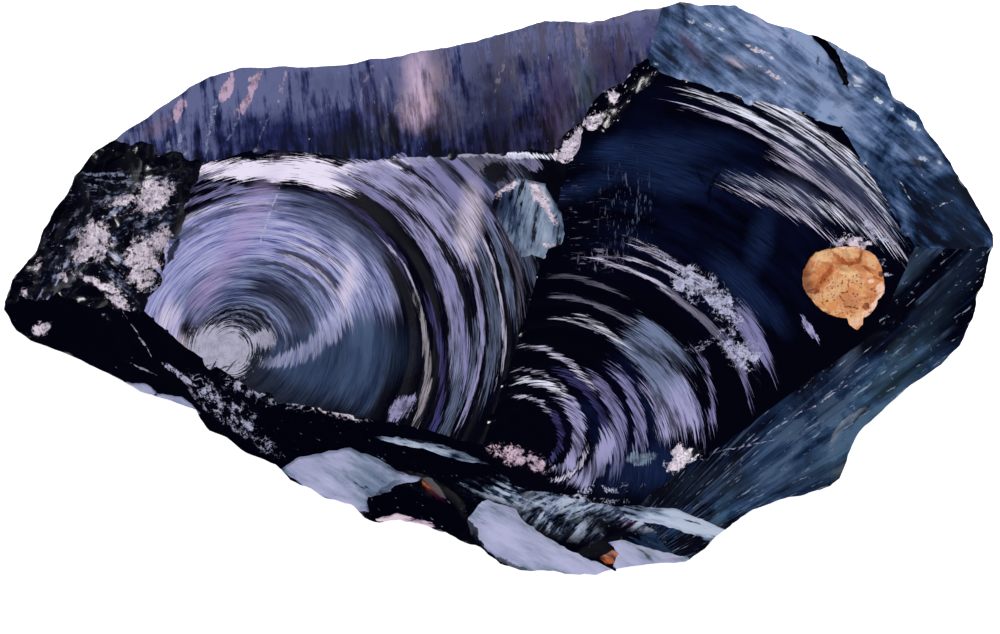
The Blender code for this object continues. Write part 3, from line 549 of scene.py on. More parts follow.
def plate(face, stuff, height):
    """A block whose underside is one gridded face: fine inside its window, one wide cell outside it."""
    x0, x1, y0, y1 = face.window
    xs = np.concatenate([[-FAR], np.arange(x0, x1 + face.step / 2, face.step), [FAR]])
    ys = np.concatenate([[-FAR], np.arange(y0, y1 + face.step / 2, face.step), [FAR]])
    gx, gy = np.meshgrid(xs, ys, indexing="ij")
    gz = np.hypot(gx, gy) ** 2 / (2 * face.bowl)
    inside = (gx > -FAR) & (gx < FAR) & (gy > -FAR) & (gy < FAR)
    gz[inside] += height(np.column_stack([gx[inside], gy[inside]]))
    n, m = len(xs), len(ys)
    verts = np.column_stack([gx.ravel(), gy.ravel(), gz.ravel()])
    top = len(verts)
    rim = [i * m for i in range(n)] + [(n - 1) * m + j for j in range(1, m)]
    rim += [i * m + m - 1 for i in range(n - 2, -1, -1)] + list(range(m - 2, 0, -1))
    count = len(rim)
    lid = np.column_stack([verts[rim][:, 0], verts[rim][:, 1], np.full(count, LID)])
    faces = [
        (i * m + j, i * m + j + 1, (i + 1) * m + j + 1, (i + 1) * m + j)
        for i in range(n - 1) for j in range(m - 1)
    ]
    faces += [(rim[k], rim[(k + 1) % count], top + (k + 1) % count, top + k) for k in range(count)]
    faces.append(cap(top, count))
    place = Matrix.Translation(Vector(face.at)) @ facing(face.faces, face.lean)
    return solid(face.name, np.vstack([verts, lid]), faces, SHOP @ place, stuff)


FIRST_RING, FIRST_COUNT, WIDEST = 0.35, 48, 0.7  # a bowl's first ring, its points, and their widest spacing


def bowl(scar, stuff, height, every):
    """A block whose underside is a bowl gridded in rings, with more points round it further out."""
    radii = [FIRST_RING]
    while radii[-1] < scar.reach:
        radii.append(radii[-1] + every * (1 + radii[-1] / 150))
    radii.append(FAR)
    verts = [(0.0, 0.0)]
    faces = []
    before, size, count = 0, 1, FIRST_COUNT
    for radius in radii:
        split = 2 * math.pi * radius / count > WIDEST and radius < FAR - 1
        count = count * 2 if split else count
        ring = len(verts)
        turn = 2 * math.pi / count
        verts += [(radius * math.cos(i * turn), radius * math.sin(i * turn)) for i in range(count)]
        if size == 1:
            faces += tip(0, ring, count)
        elif split:
            for i in range(size):
                a, b = before + i, before + (i + 1) % size
                c, d, e = ring + 2 * i, ring + 2 * i + 1, ring + (2 * i + 2) % count
                faces += [(a, d, c), (a, b, d), (b, e, d)]
        else:
            faces += strip(before, ring, count)
        before, size = ring, count
    flat = np.array(verts)
    out = np.hypot(flat[:, 0], flat[:, 1])
    inner = out < FAR - 1
    z = out ** 2 / (2 * scar.bowl)
    z[inner] += height(flat[inner], out[inner])
    flat[:, 0] += scar.drift * out
    verts = np.column_stack([flat, z])
    top = len(verts)
    lid = verts[before:].copy()
    lid[:, 2] = LID
    faces += strip(before, top, count) + [cap(top, count)]
    place = Matrix.Translation(Vector(scar.at)) @ facing(scar.faces, scar.lean)
    return solid(scar.name, np.vstack([verts, lid]), faces, SHOP @ place, stuff)


def dish_shape(half, deep, long, seed, rings, steps, rough):
    """Points and faces of a dished cutter, about a point on the skin with +Z outwards."""
    radius = (half * half + deep * deep) / (2 * deep)
    flat = [(0.0, 0.0)]
    for ring in range(rings):
        out = 1.5 * half * (ring + 1) / rings
        for i in range(steps):
            way = 2 * math.pi * i / steps
            lobes = math.sin(2 * way + seed) + math.sin(3 * way + 2.3 * seed) + math.sin(5 * way + seed)
            wide = 1 + (0.10 if rough else 0.20) * lobes
            flat.append((out * math.cos(way) * wide, out * math.sin(way) * wide))
    flat = np.array(flat)
    out = np.hypot(flat[:, 0], flat[:, 1])
    z = out ** 2 / (2 * radius) - deep
    if rough:
        z += scoops(flat, max(half * 0.45, 0.9), rough * half * 0.5, seed)
        sway = 2 * np.sin(np.arctan2(flat[:, 1], flat[:, 0]) + seed)
        z += (0.012 if rough > 0.1 else 0.007) * half * np.sin(out / half * 17 + sway)
    verts = [(x * long, y, height) for (x, y), height in zip(flat, z)]
    faces = tip(0, 1, steps)
    for ring in range(rings - 1):
        faces += strip(1 + ring * steps, 1 + (ring + 1) * steps, steps)
    rim, top = 1 + (rings - 1) * steps, len(verts)
    verts += [(x, y, half * 1.2 + 3.0) for x, y, _ in verts[rim:]]
    faces += strip(rim, top, steps) + [cap(top, steps)]
    return verts, faces


def stand_on(hit, normal, angle):
    """Where a cutter goes that stands on the skin and points its long way at a compass angle."""
    across = normal.cross(compass(angle)).normalized()
    turn = Matrix((across.cross(normal), across, normal)).transposed().to_4x4()
    return Matrix.Translation(SHOP.inverted() @ hit) @ turn


def dish(name, hit, normal, half, deep, stuff, long=1.0, angle=0.0, rings=8, steps=40, rough=0.16):
    """A dished cutter that sinks this deep into the stone at a point on its skin."""
    seed = (SHOP.inverted() @ hit).length
    verts, faces = dish_shape(half, deep, long, seed, rings, steps, rough)
    return solid(name, verts, faces, SHOP @ stand_on(hit, normal, angle), stuff)


def blank(stuff):
    """The outline drawn out into a block with broken, uneven walls that taper in below."""
    points = divided(OUTLINE, 0.8)
    heights = np.concatenate([np.linspace(0, 1, 13), [1.15, 1.3, 1.6]])
    verts = []
    count = len(points)
    for level in heights:
        size = float(np.interp(level, *zip(*TAPER)))
        for x, y in points:
            out = CENTRE[0] + (x - CENTRE[0]) * size
            up = CENTRE[1] + (y - CENTRE[1]) * size
            edge = EDGE_LEFT + (EDGE_RIGHT - EDGE_LEFT) * (x + 75.0) / 150.0
            z = level * edge
            away = Vector((out - CENTRE[0], up - CENTRE[1], 0)).normalized()
            rough = 0.45 * noise.fractal(Vector((out, up, z)) * 0.35, 0.9, 2.1, 4) - 0.1
            verts.append((out + away.x * rough, up + away.y * rough, z))
    verts += [(x, y, BLANK_HEIGHT) for x, y in points]
    faces = []
    for ring in range(len(heights)):
        faces += strip(ring * count, (ring + 1) * count, count, inward=True)
    faces += [cap(0, count), cap(len(verts) - count, count)[::-1]]
    return solid("obsidian_stone", verts, faces, SHOP, stuff)


def carve(stone, cutters):
    """Takes every cutter off the stone at once and leaves each cutter's material on what it cut."""
    scene = bpy.context.scene.collection
    for cutter in cutters:
        scene.objects.link(cutter)
        cut = stone.modifiers.new(cutter.name, "BOOLEAN")
        cut.operation = "DIFFERENCE"
        cut.solver = "MANIFOLD"
        cut.material_mode = "TRANSFER"
        cut.object = cutter
    bpy.context.view_layer.update()
    graph = bpy.context.evaluated_depsgraph_get()
    mesh = bpy.data.meshes.new_from_object(stone.evaluated_get(graph))
    stone.modifiers.clear()
    old = stone.data
    stone.data = mesh
    bpy.data.meshes.remove(old)
    for cutter in cutters:
        bpy.data.objects.remove(cutter)


def skin_of(stone):
    """The stone's skin as it is now, for looking where it lies."""
    bm = bmesh.new()
    bm.from_mesh(stone.data)
    tree = BVHTree.FromBMesh(bm)
    bm.free()
    return tree


def look_down(skin, x, y):
    """Where the skin lies under this place, or None, and its normal there."""
    return skin.ray_cast(SHOP @ Vector((x, y, ABOVE)), Vector((0, 0, -1)))[:2]


def waves(scar, streaks, quiet, loud, from_radius, seed):
    """Height of the shell ripples round a blow: a wave for each streak, on a finer, uneven train."""
    def height(flat, out):
        way = np.degrees(np.arctan2(flat[:, 1], flat[:, 0]))
        wobble = fbm(flat, 0.09, 2, seed)
        total = np.zeros(len(out))
        for start, end, half, way_0, way_1, tone, share in streaks:
            along = (way - (way_0 + way_1) / 2 + 180) % 360 - 180
            span = abs(way_0 - way_1) / 2
            centre = (start + end) / 2 + along * (end - start) / (way_1 - way_0)
            lift = (-0.07 if tone in ("ink", "dusk") else 0.10) * min(half, 1.0) * share
            crest = np.exp(-((out + 0.5 * wobble - centre) / (half * 1.1)) ** 2)
            total += lift * crest * smooth(np.abs(along), span + 9, span - 5)
        phase = np.log(1 + out * scar.growth / scar.ripple) / scar.growth
        ways = np.radians(way)
        strong = np.array([
            noise.noise(Vector((p * 0.45, math.cos(w) * 1.3, math.sin(w) * 1.3 + seed)))
            for p, w in zip(phase, ways)
        ])
        strong = np.clip(strong * 1.6 + 0.35, 0, 1)
        amp = quiet + (loud - quiet) * strong * smooth(out, from_radius, from_radius + 4)
        beat = 2 * np.pi * (phase + 0.07 * np.sin(ways * 2 + seed) + 0.05 * np.sin(ways * 5 + seed * 2.3))
        swell = 0.10 * fbm(flat, 0.05, 2, seed)
        return total + amp * np.minimum(1, phase / 2) * (np.sin(beat) - 0.35 * np.cos(2 * beat)) + swell
    return height


def uneven(seed, amount, scale, cell, deep):
    """Height of a face that a blow left uneven, scooped by smaller flakes."""
    def height(flat):
        small = scoops(flat, cell * 0.42, deep * 0.35, seed + 9)
        return amount * fbm(flat, scale, 4, seed) + (scoops(flat, cell, deep, seed) + small)
    return height


# ---------------------------------------------------------------- materials

def ink(tone, level=1.0):
    """The linear colour that a shader wants for a tone of the table; any other colour stays as it is."""
    if not isinstance(tone, str):
        return tone
    linear = [((c / 255 + 0.055) / 1.055) ** 2.4 if c > 10 else c / 255 / 12.92 for c in TONES[tone]]
    return tuple(level * c for c in linear)


class Nodes:
    """A node tree being built."""

    def __init__(self, tree):
        self.tree = tree

    def link(self, value, socket):
        """Links a socket, or sets a number, a vector, a colour or the name of a tone."""
        if isinstance(value, bpy.types.NodeSocket):
            self.tree.links.new(value, socket)
        elif value is not None:
            socket.default_value = (*ink(value), 1) if socket.type == "RGBA" else value

    def node(self, kind, inputs=(), out=0, **settings):
        """An output of a new node, whose inputs come in order or as a dict."""
        made = self.tree.nodes.new("ShaderNode" + kind)
        for key, value in settings.items():
            setattr(made, key, value)
        for key, value in (inputs if isinstance(inputs, dict) else dict(enumerate(inputs))).items():
            self.link(value, made.inputs[key])
        return made.outputs[out]

    def separate(self, value):
        return self.node("SeparateXYZ", (value,)).node.outputs

    def ramp(self, value, stops):
        """A colour that runs through the tones of a list of stops."""
        made = self.node("ValToRGB", (value,)).node
        elements = made.color_ramp.elements
        while len(elements) < len(stops):
            elements.new(0.5)
        for element, (position, tone) in zip(elements, stops):
            element.position = position
            element.color = (*ink(tone), 1)
        return made.outputs[0]


SOFT_TONES = ("teal_hollow", "rose_lilac", "rose_white")
DARK_TONES = ("black", "olive_dark", "teal_black", "blue_black", "navy", "plum_dark")
WANDER_WIDE, WANDER_THIN = 2.0, 1.1  # how far the edges of wide and of thin marks are shifted about
THIN = 0.45  # half width below which a mark counts as thin
RIGHT_THROUGH = 10  # half height of a mark in metres: it shows at every height
SCRATCHED = 0.4  # roughness of scratches and splinters
HACKLES_FROM = (12.0, -46.0)  # where the rays of the lower right faces fan out from


class Skin(Nodes):
    """The material of one face while its marks go on: a colour, a roughness and a height."""

    def __init__(self, name, colour, rough):
        self.material = bpy.data.materials.new(name)
        self.material.use_nodes = True
        super().__init__(self.material.node_tree)
        self.shader = self.tree.nodes["Principled BSDF"]
        self.place = self.node("TexCoord", out="Object")
        # the place again, shifted about a little, for marks with uneven edges
        shift = self.vector("SUBTRACT", self.noise(self.place, 420, 4, 0.65, out="Color"), (0.5, 0.5, 0.5))
        self.loose, self.firm = [
            self.vector("ADD", self.place, self.vector("MULTIPLY", shift, (wander * MM,) * 3))
            for wander in (WANDER_WIDE, WANDER_THIN)
        ]
        self.colour, self.rough, self.height = colour, rough, None
        self.fine = self.noise(self.place, 2600, 5, 0.65)
        self.broken = self.noise(self.place, 780, 8, 0.74)
        self.scribble = self.noise(self.place, 420, 3, 0.6, 1.2)

    # arithmetic

    def math(self, operation, *values):
        return self.node("Math", values, operation=operation)

    def vector(self, operation, *values):
        out = "Value" if operation == "LENGTH" else "Vector"
        return self.node("VectorMath", values, out, operation=operation)

    def add(self, a, b):
        return self.math("ADD", a, b)

    def less(self, a, b):
        return self.math("SUBTRACT", a, b)

    def mad(self, value, times, plus):
        """A value multiplied by one number, plus another."""
        return self.math("MULTIPLY_ADD", value, times, plus)

    def times(self, *values):
        total = values[0]
        for value in values[1:]:
            total = self.math("MULTIPLY", total, value)
        return total

    def most(self, a, b):
        return self.math("MAXIMUM", a, b)

    def apart(self, a, b):
        return self.math("ABSOLUTE", self.less(a, b))

    def length(self, x, y):
        return self.math("SQRT", self.add(self.times(x, x), self.times(y, y)))

    def span(self, value, low, high, to_low=0.0, to_high=1.0):
        """A smooth run from one number to another while the value goes from low to high."""
        return self.node("MapRange", (value, low, high, to_low, to_high), interpolation_type="SMOOTHSTEP")

    def mix(self, share, a, b):
        return self.node("Mix", {0: share, 6: a, 7: b}, 2, data_type="RGBA")

    def blend(self, share, a, b):
        return self.node("Mix", {0: share, 2: a, 3: b}, data_type="FLOAT")

    def bump(self, height, depth, before=None):
        return self.node("Bump", {"Distance": depth * MM, "Height": height, "Normal": before})

    # noises and places

    def noise(self, where, scale, detail, rough, distort=0.0, out="Fac"):
        inputs = {"Vector": where, "Scale": scale, "Detail": detail}
        inputs.update({"Roughness": rough, "Distortion": distort})
        return self.node("TexNoise", inputs, out)

    def frame(self, across, up, long=1, wide=1, turn=0, where=None):
        """The place measured from a point in half lengths and half widths of a mark."""
        spot, turned_by = SHOP @ Vector((across, up, 0)), (0, 0, math.radians(turn))
        size = (long * MM, wide * MM, RIGHT_THROUGH)
        return self.node("Mapping", (where or self.place, spot, turned_by, size), vector_type="TEXTURE")

    def blob(self, across, up, long, wide, turn, soft):
        """1 inside an ellipse seen from above, fading to 0 outside it."""
        out = self.vector("LENGTH", self.frame(across, up, long, wide, turn, self.loose))
        return self.span(out, 1 + soft, 1 - soft)

    def torn(self, across, up, long, wide, turn, shred, soft=0.16):
        """The same ellipse, its edge torn by a noise that the caller has turned into a shred."""
        where = self.firm if wide < THIN else self.loose
        out = self.vector("LENGTH", self.frame(across, up, long, wide, turn, where))
        return self.span(self.less(shred, out), 0.0, soft)

    def fan(self, along, round_it, detail, rough, seed):
        """Noise in rays from the start of the hackles: coarse along them and fine across them."""
        x, y, _ = self.separate(self.frame(*HACKLES_FROM))
        out = self.length(x, y)
        way = self.math("ARCTAN2", y, x)
        spot = self.node("CombineXYZ", (self.times(out, along), self.times(way, round_it), seed))
        return self.noise(spot, 1, detail, rough)

    def drawn(self, turn, stretch, scale, detail, rough):
        """Noise drawn out into streaks along a compass angle."""
        return self.noise(self.frame(0, 0, stretch / MM, 1 / MM, turn), scale, detail, rough)

    def rings(self, scar, seam):
        """Distance from a blow in millimetres, and the angle round it, which jumps at the seam."""
        turn = facing(scar.faces, scar.lean).to_euler()
        spot = (self.place, SHOP @ Vector(scar.at), turn, (MM, MM, MM))
        x, y, _ = self.separate(self.node("Mapping", spot, vector_type="TEXTURE"))
        drift, rest = scar.drift, 1 - scar.drift ** 2
        square = self.add(self.times(x, x), self.times(y, y, rest))
        out = self.less(self.math("SQRT", square), self.times(x, drift))
        out = self.math("DIVIDE", out, rest)
        dx = self.less(x, self.times(out, drift))
        c, s = math.cos(math.radians(seam)), math.sin(math.radians(seam))
        u = self.add(self.times(dx, -c), self.times(y, -s))
        v = self.less(self.times(dx, s), self.times(y, c))
        return out, self.math("ARCTAN2", v, u)

    # what goes on a face

    def lay(self, share, tone, rough=None):
        """Lays a tone over a share of the face, and a roughness where one is given."""
        self.colour = self.mix(share, self.colour, tone)
        if rough is not None:
            self.rough = self.blend(share, self.rough, rough)

    def raise_by(self, height):
        self.height = height if self.height is None else self.add(self.height, height)

    def flecks(self, noise_value, amount, tone, share):
        """Short bright scratches where a drawn noise peaks."""
        mask = self.times(self.span(noise_value, amount, amount + 0.03), share)
        self.lay(mask, tone, SCRATCHED)
        self.raise_by(self.times(mask, 0.5))

    def crumb(self, mark, tone):
        """Crushed glass: bright splinters and the pale rims of small flakes, thinning out into the black."""
        solid_share = 0.78 if tone == "powder" else 1.0
        whole = self.mad(self.broken, 4.0, self.mad(mark, solid_share, -2.0))
        share = self.times(self.span(whole, 0.50, 0.78), self.span(mark, 0.02, 0.25))
        red, green, _ = self.separate(self.node("TexVoronoi", {"Vector": self.loose, "Scale": 1300}, "Color"))
        hue = self.mix(self.span(red, 0.0, 0.8, 0.55, 1.0), (0.12, 0.11, 0.20), tone)
        hue = self.mix(self.span(self.fine, 0.40, 0.48, 0.7, 0.0), hue, (0.05, 0.045, 0.10))
        line = self.span(self.apart(self.scribble, 0.5), 0.018, 0.006)
        rims = self.times(line, self.span(mark, 0.02, 0.30), self.span(self.broken, 0.44, 0.52))
        self.lay(self.times(rims, 0.85), tone, SCRATCHED)
        self.lay(share, hue, 0.5)
        self.raise_by(self.times(share, green, 0.9))

    def marks(self, rows, streaky, tear=2.4, soft=99.0):
        """The marks of the table, each torn at its edges by the streaks of its face."""
        crumbs = {}
        shred = self.mad(streaky, tear, 1.05 - tear * 0.5)
        shred = self.add(shred, self.mad(self.broken, 0.9, -0.45))
        dapple = self.span(self.mad(self.broken, 0.6, self.times(streaky, 0.4)), 0.41, 0.56)
        beads = self.span(self.broken, 0.46, 0.53)
        for across, up, long, wide, turn, share, tone in rows:
            spot = (across, up, long, wide, turn)
            if tone.startswith("crumb") or tone == "powder":
                mark = self.times(self.blob(*spot, 0.5), share)
                crumbs[tone] = mark if tone not in crumbs else self.most(crumbs[tone], mark)
            elif "haze" in tone or tone in SOFT_TONES or wide > soft:
                mark = self.blob(*spot, 0.8)
                self.lay(self.times(mark, share, self.span(streaky, 0.36, 0.62, 0.2, 1)), tone)
            else:
                mark = self.times(self.torn(*spot, shred), share)
                if tone not in DARK_TONES:
                    mark = self.times(mark, beads) if wide < THIN else mark
                    tone = self.mix(dapple, ink(tone, 0.72 if tone == "bulb" else 0.3), tone)
                self.lay(mark, tone)
        for tone, mark in crumbs.items():
            self.crumb(mark, tone)

    def finish(self, depth, grain, specular):
        normal = self.bump(self.fine, grain)
        if self.height is not None:
            normal = self.bump(self.height, depth, normal)
        ends = {"Base Color": self.colour, "Roughness": self.rough, "Normal": normal}
        for key, value in {**ends, "Specular IOR Level": specular}.items():
            self.link(value, self.shader.inputs[key])
        return self.material


def turned(angle, seam):
    """An angle round a blow, in radians from the far side of its seam."""
    return (math.radians(angle - seam - 180) + math.pi) % (2 * math.pi) - math.pi


# what a scar's own layers are laid by: distance and angle round its blow, and noises in lines along its rings
Lines = namedtuple("Lines", "out way hair comb soft")
LEFT_SEAM, GREAT_SEAM = -110, -120
# the tones of the painted highlights on the ripples
HIGHLIGHT_TONES = ("bright", "pale", "glow")


def scar_skin(name, scar, seam, streaks, under):
    """Glass round a blow: hair-fine lines along the ripples, with every streak of the table painted on them
    as a reflection: pale streaks as highlights, dark ones as shaded bands.
    """
    p = Skin(name, "black", 0.14)
    out, way = p.rings(scar, seam)
    arc = p.times(way, out)

    def lines(across, along, by, detail, rough, seed):
        spot = p.node("CombineXYZ", (p.times(out, across), p.times(by, along), seed))
        return p.noise(spot, 1, detail, rough)

    hair = lines(6.0, 0.20, arc, 6, 0.68, 0.0)
    comb = lines(1.7, 0.10, arc, 7, 0.74, 21.0)
    soft = lines(0.5, 0.08, arc, 4, 0.6, 5.0)
    fleet = p.mad(hair, 0.5, p.times(comb, 0.5))
    calm = p.mad(hair, 0.2, p.mad(comb, 0.35, p.times(soft, 0.45)))
    fray = lines(4.2, 0.5, way, 4, 0.65, 9.0)
    bend = lines(0.3, 3.0, way, 5, 0.62, 3.0)
    ragged = p.add(way, p.mad(fray, 0.6, -0.3))
    curved = p.add(out, p.mad(bend, 1.5, -0.75))
    shred = p.mad(hair, 2.0, 0.10)
    under(p, Lines(curved, ragged, hair, comb, soft))
    # each streak is a painted reflection: a highlight in the pale tones, a dark band in ink and dusk
    for start, end, half, way_0, way_1, tone, share in streaks:
        middle = turned((way_0 + way_1) / 2, seam)
        span = math.radians(abs(way_0 - way_1) / 2) + 0.05
        slope = (end - start) / math.radians(way_1 - way_0)
        centre = p.mad(ragged, slope, (start + end) / 2 - slope * middle)
        off = p.apart(curved, centre)
        away = p.apart(ragged, middle)
        near = p.most(p.times(off, 0.85 / half), p.times(away, 0.95 / span))
        mask = p.span(p.less(shred, near), 0.0, 0.30)
        if tone in HIGHLIGHT_TONES:
            dark, lit = 0.06, p.span(fleet, 0.45, 0.53)
        elif half > 0.75:
            dark, lit = 0.16, p.span(calm, 0.43, 0.53)
        else:
            dark, lit = 0.14, p.span(fleet, 0.43, 0.56)
        bright = p.mix(lit, ink(tone, dark), tone)
        p.lay(p.times(mask, share), bright)
    p.raise_by(p.times(hair, 0.2))
    p.marks(MARKS[name], hair)
    return p


def zone(p, lines, seam, row, texture):
    """A broad zone of painted reflection round a blow: radius from and to, angle from and to, softness,
    share, and its tones.
    """
    low, high, way_0, way_1, soft, share, stops = row
    middle = turned((way_0 + way_1) / 2, seam)
    span = math.radians(abs(way_0 - way_1) / 2)
    radial = p.times(p.span(lines.out, low - soft, low + soft), p.span(lines.out, high + soft, high - soft))
    away = p.apart(lines.way, middle)
    p.lay(p.times(radial, p.span(away, span + 0.14, span - 0.14), share), p.ramp(texture, stops))


# ramps of the painted reflections on the two scars, from dark shade to pale sheen; ICE is the painted
# reflection on the pale front facets
WASH = [(0.38, "deep"), (0.43, "mid"), (0.475, "wash"), (0.59, "sheen_white")]
SEA = [(0.40, "sea_dark"), (0.50, "sea"), (0.60, "sea_pale")]
WELL = [(0.40, "well"), (0.475, "well_mid"), (0.56, "well_pale")]
SHADE = [(0.36, "black"), (0.56, "ink"), (0.68, "mid")]
NIGHT = [(0.40, "black"), (0.54, "navy_sheen_haze"), (0.68, "night")]
ICE = [(0.30, "steel"), (0.42, "ice_grey"), (0.50, "pale_ice"), (0.64, "sheen_white")]
LEFT_ZONES = [
    (14.0, 21.0, 18, 44, 1.2, 0.6, WELL), (7.0, 13.6, 20, 150, 0.9, 0.85, WELL),
    (8.4, 11.4, 8, 84, 0.7, 0.85, NIGHT), (23.4, 30.5, 92, 132, 0.5, 0.93, SHADE),
    (26.2, 33.0, -24, 30, 0.8, 0.5, SHADE), (33.0, 42.0, 32, 58, 1.0, 0.55, SEA),
]
GREAT_ZONES = [(6.0, 20.0, -14, 56, 1.5, 0.8, NIGHT), (30.0, 56.0, 36, 84, 3.0, 0.6, NIGHT)]
# painted highlights: the white streaks under the ridge, where the last ripple turns up into the light
RIDGE_HIGHLIGHTS = [
    (-36.0, 17.6, 10.5, 1.5, -1, "glow"), (-26.6, 17.0, 6.6, 2.2, -14, "glow"),
    (-18.0, 18.2, 8.0, 0.9, 4, "glow"), (-12.0, 19.3, 9.0, 0.5, 5, "bright"),
    (0.5, 19.7, 7.5, 0.5, -3, "bright"),
]
COMET_TURN, COMET_START = 4.7, 7.9  # degrees per millimetre, and where the comet would cross -10 degrees


def left_under(p, lines):
    """The painted reflections of the left scar: its broad lavender field, its pale bulb rings and the comet
    across it.
    """
    out, way, hair, comb, soft = lines

    def sweep(angle_0, angle_1, *levels):
        """A run from one angle round the blow to another."""
        return p.span(way, turned(angle_0, LEFT_SEAM), turned(angle_1, LEFT_SEAM), *levels)

    # the lavender field, its teal and dark tints: painted reflections laid as zones round the blow
    mixed = p.mad(hair, 0.45, p.times(comb, 0.55))
    drawn_in = lines._replace(out=p.add(out, sweep(100, -20, 0.0, 3.2)))
    zone(p, drawn_in, LEFT_SEAM, (10.5, 23.6, 14, 180, 0.7, 0.98, WASH), mixed)
    zone(p, drawn_in, LEFT_SEAM, (20.0, 24.0, 36, 84, 0.8, 0.7, SEA), mixed)
    for row in LEFT_ZONES:
        zone(p, lines, LEFT_SEAM, row, mixed)
    smooth_mix = p.mad(soft, 0.86, p.times(hair, 0.14))
    zone(p, drawn_in, LEFT_SEAM, (8.5, 22.6, -30, 16, 0.9, 0.92, SEA), smooth_mix)
    # the pale bulb rings: a painted reflection round the bulb
    tight = p.math("SINE", p.mad(soft, 5.0, p.times(out, 2 * math.pi / 0.82)))
    fade = p.times(p.span(out, 9.2, 6.8), sweep(158, 120))
    fade = p.times(fade, sweep(-12, 20))
    p.lay(p.times(fade, p.span(tight, -0.8, 1.0), p.span(hair, 0.42, 0.58, 0.0, 0.75)), "well_pale")
    # the comet, a painted reflection: a feathered band whose angle grows with the distance from the blow
    turn = math.radians(COMET_TURN)
    off = p.apart(way, p.mad(out, turn, turned(-10, LEFT_SEAM) - turn * COMET_START))
    body = p.span(off, math.radians(11), math.radians(6))
    body = p.times(body, p.span(out, 4.0, 7.5), p.span(out, 20.6, 19.4))
    p.lay(p.times(body, p.span(hair, 0.36, 0.50, 0.35, 1)), p.ramp(comb, [(0.36, "wash"), (0.56, "sheen_white")]))
    # the painted highlights under the ridge
    shred = p.mad(hair, 3.2, -0.55)
    for *spot, tone in RIDGE_HIGHLIGHTS:
        p.lay(p.torn(*spot, shred, 0.25), tone)


def great_under(p, lines):
    """The faint weave and the painted sheen of the great scar, which is otherwise as black as glass gets."""
    for row in GREAT_ZONES:
        zone(p, lines, GREAT_SEAM, row, lines.soft)
    upright = p.drawn(90, 5, 2100, 3, 0.7)
    level = p.drawn(0, 5, 2100, 3, 0.7)
    weave = p.most(p.span(upright, 0.55, 0.63), p.span(level, 0.55, 0.63))
    p.lay(p.times(p.blob(14.6, 4.2, 3.3, 1.7, 0, 0.3), weave, 0.8), "grey")
    p.lay(p.times(p.blob(18.4, 13.5, 3.6, 7.0, 0, 0.5), p.span(upright, 0.58, 0.66), 0.4), "steel")
    p.lay(p.times(p.blob(12.0, 11.0, 3.6, 6.0, 0, 0.5), p.span(level, 0.61, 0.67), 0.5), "grey")


def band_skin():
    """The upper band: navy glass with faint flutes down its slope, paler toward the outer edge."""
    p = Skin("band", "band_mid", 0.32)
    _, rise, _ = p.separate(p.frame(0, 0, turn=7))
    flutes = p.drawn(97, 7, 900, 7, 0.72)
    cloud = p.noise(p.place, 170, 5, 0.6)
    level = p.add(p.span(rise, 17.5, 39.0), p.mad(flutes, 3.7, -1.85))
    level = p.add(level, p.mad(cloud, 2.4, -1.2))
    p.lay(1.0, p.ramp(level, [(0.0, "black"), (0.16, "band_low"), (0.46, "band_mid"), (0.86, "band_high")]))
    x, _, _ = p.separate(p.frame(0, 0))
    p.lay(p.times(p.span(x, -16, 6), p.span(flutes, 0.44, 0.56), 0.7), "mauve_dark")
    p.lay(p.times(p.span(x, -10, 8), p.span(flutes, 0.53, 0.62), p.span(rise, 20, 30), 0.7), "grey")
    p.marks(MARKS["band"], flutes, 3.0, 0.9)
    p.flecks(p.drawn(97, 2.5, 2600, 2, 0.6), 0.735, "pale_blue", 0.7)
    p.raise_by(p.times(flutes, 0.5))
    return p.finish(0.06, 0.008, 0.2)


def steel_skin():
    """The upper right: cloudy steel-blue glass, combed down its slope, with a painted sheen brightest toward
    its upper left.
    """
    p = Skin("steel", "steel_mid", 0.28)
    combed = p.drawn(-38, 6, 800, 7, 0.7)
    cloud = p.noise(p.place, 110, 6, 0.62, 1.0)
    along, _, _ = p.separate(p.frame(0, 0, turn=-42))
    # painted sheen: brightest toward the upper left of the face, fading toward the lower right
    shape = p.times(p.span(along, 44, 12), p.span(along, -10, 9, 0.35, 1))
    level = p.add(p.mad(shape, 0.72, 0.08), p.mad(combed, 2.1, -1.05))
    level = p.add(level, p.mad(cloud, 2.6, -1.3))
    stops = [(0.0, "ink"), (0.22, "steel_dark"), (0.58, "steel_mid"), (0.95, "steel_pale")]
    p.lay(1.0, p.ramp(level, stops))
    p.marks(MARKS["steel"], combed, 4.6, 0.45)
    p.flecks(p.drawn(-35, 2.2, 2400, 3, 0.6), 0.735, "white", 0.8)
    p.raise_by(p.times(combed, 0.4))
    return p.finish(0.05, 0.006, 0.3)


def teal_skin():
    """The lower right: dark teal glass with hackle rays that fan out from its lower left corner."""
    p = Skin("teal", "teal_black", 0.2)
    rays = p.fan(0.05, 22.0, 5, 0.62, 0.0)
    thin = p.fan(0.22, 90.0, 3, 0.62, 4.0)
    cloud = p.noise(p.place, 90, 6, 0.62, 0.6)
    level = p.add(p.times(rays, 0.9), p.times(cloud, 1.4))
    x, y, _ = p.separate(p.frame(51.0, -22.0, 24.0, 11.0, 40))
    inner = p.length(x, y)
    level = p.add(level, p.span(inner, 1.3, 0.1, -0.55, -0.18))
    p.lay(1.0, p.ramp(level, [(0.68, "black"), (0.79, "teal_black"), (0.92, "teal_deep"), (1.0, "teal_mid")]))
    beams = p.fan(0.02, 48.0, 4, 0.7, 7.0)
    p.lay(p.times(p.span(beams, 0.53, 0.62), p.span(cloud, 0.42, 0.58), 0.6), "sea_pale")
    p.lay(p.times(p.span(beams, 0.45, 0.38), 0.6), "teal_black")
    p.marks(MARKS["teal"], rays, 4.0, 0.45)
    p.flecks(thin, 0.635, "ice_grey", 0.85)
    p.flecks(p.broken, 0.63, "ice_grey", 0.7)
    p.raise_by(p.times(rays, 0.6))
    return p.finish(0.06, 0.006, 0.3)


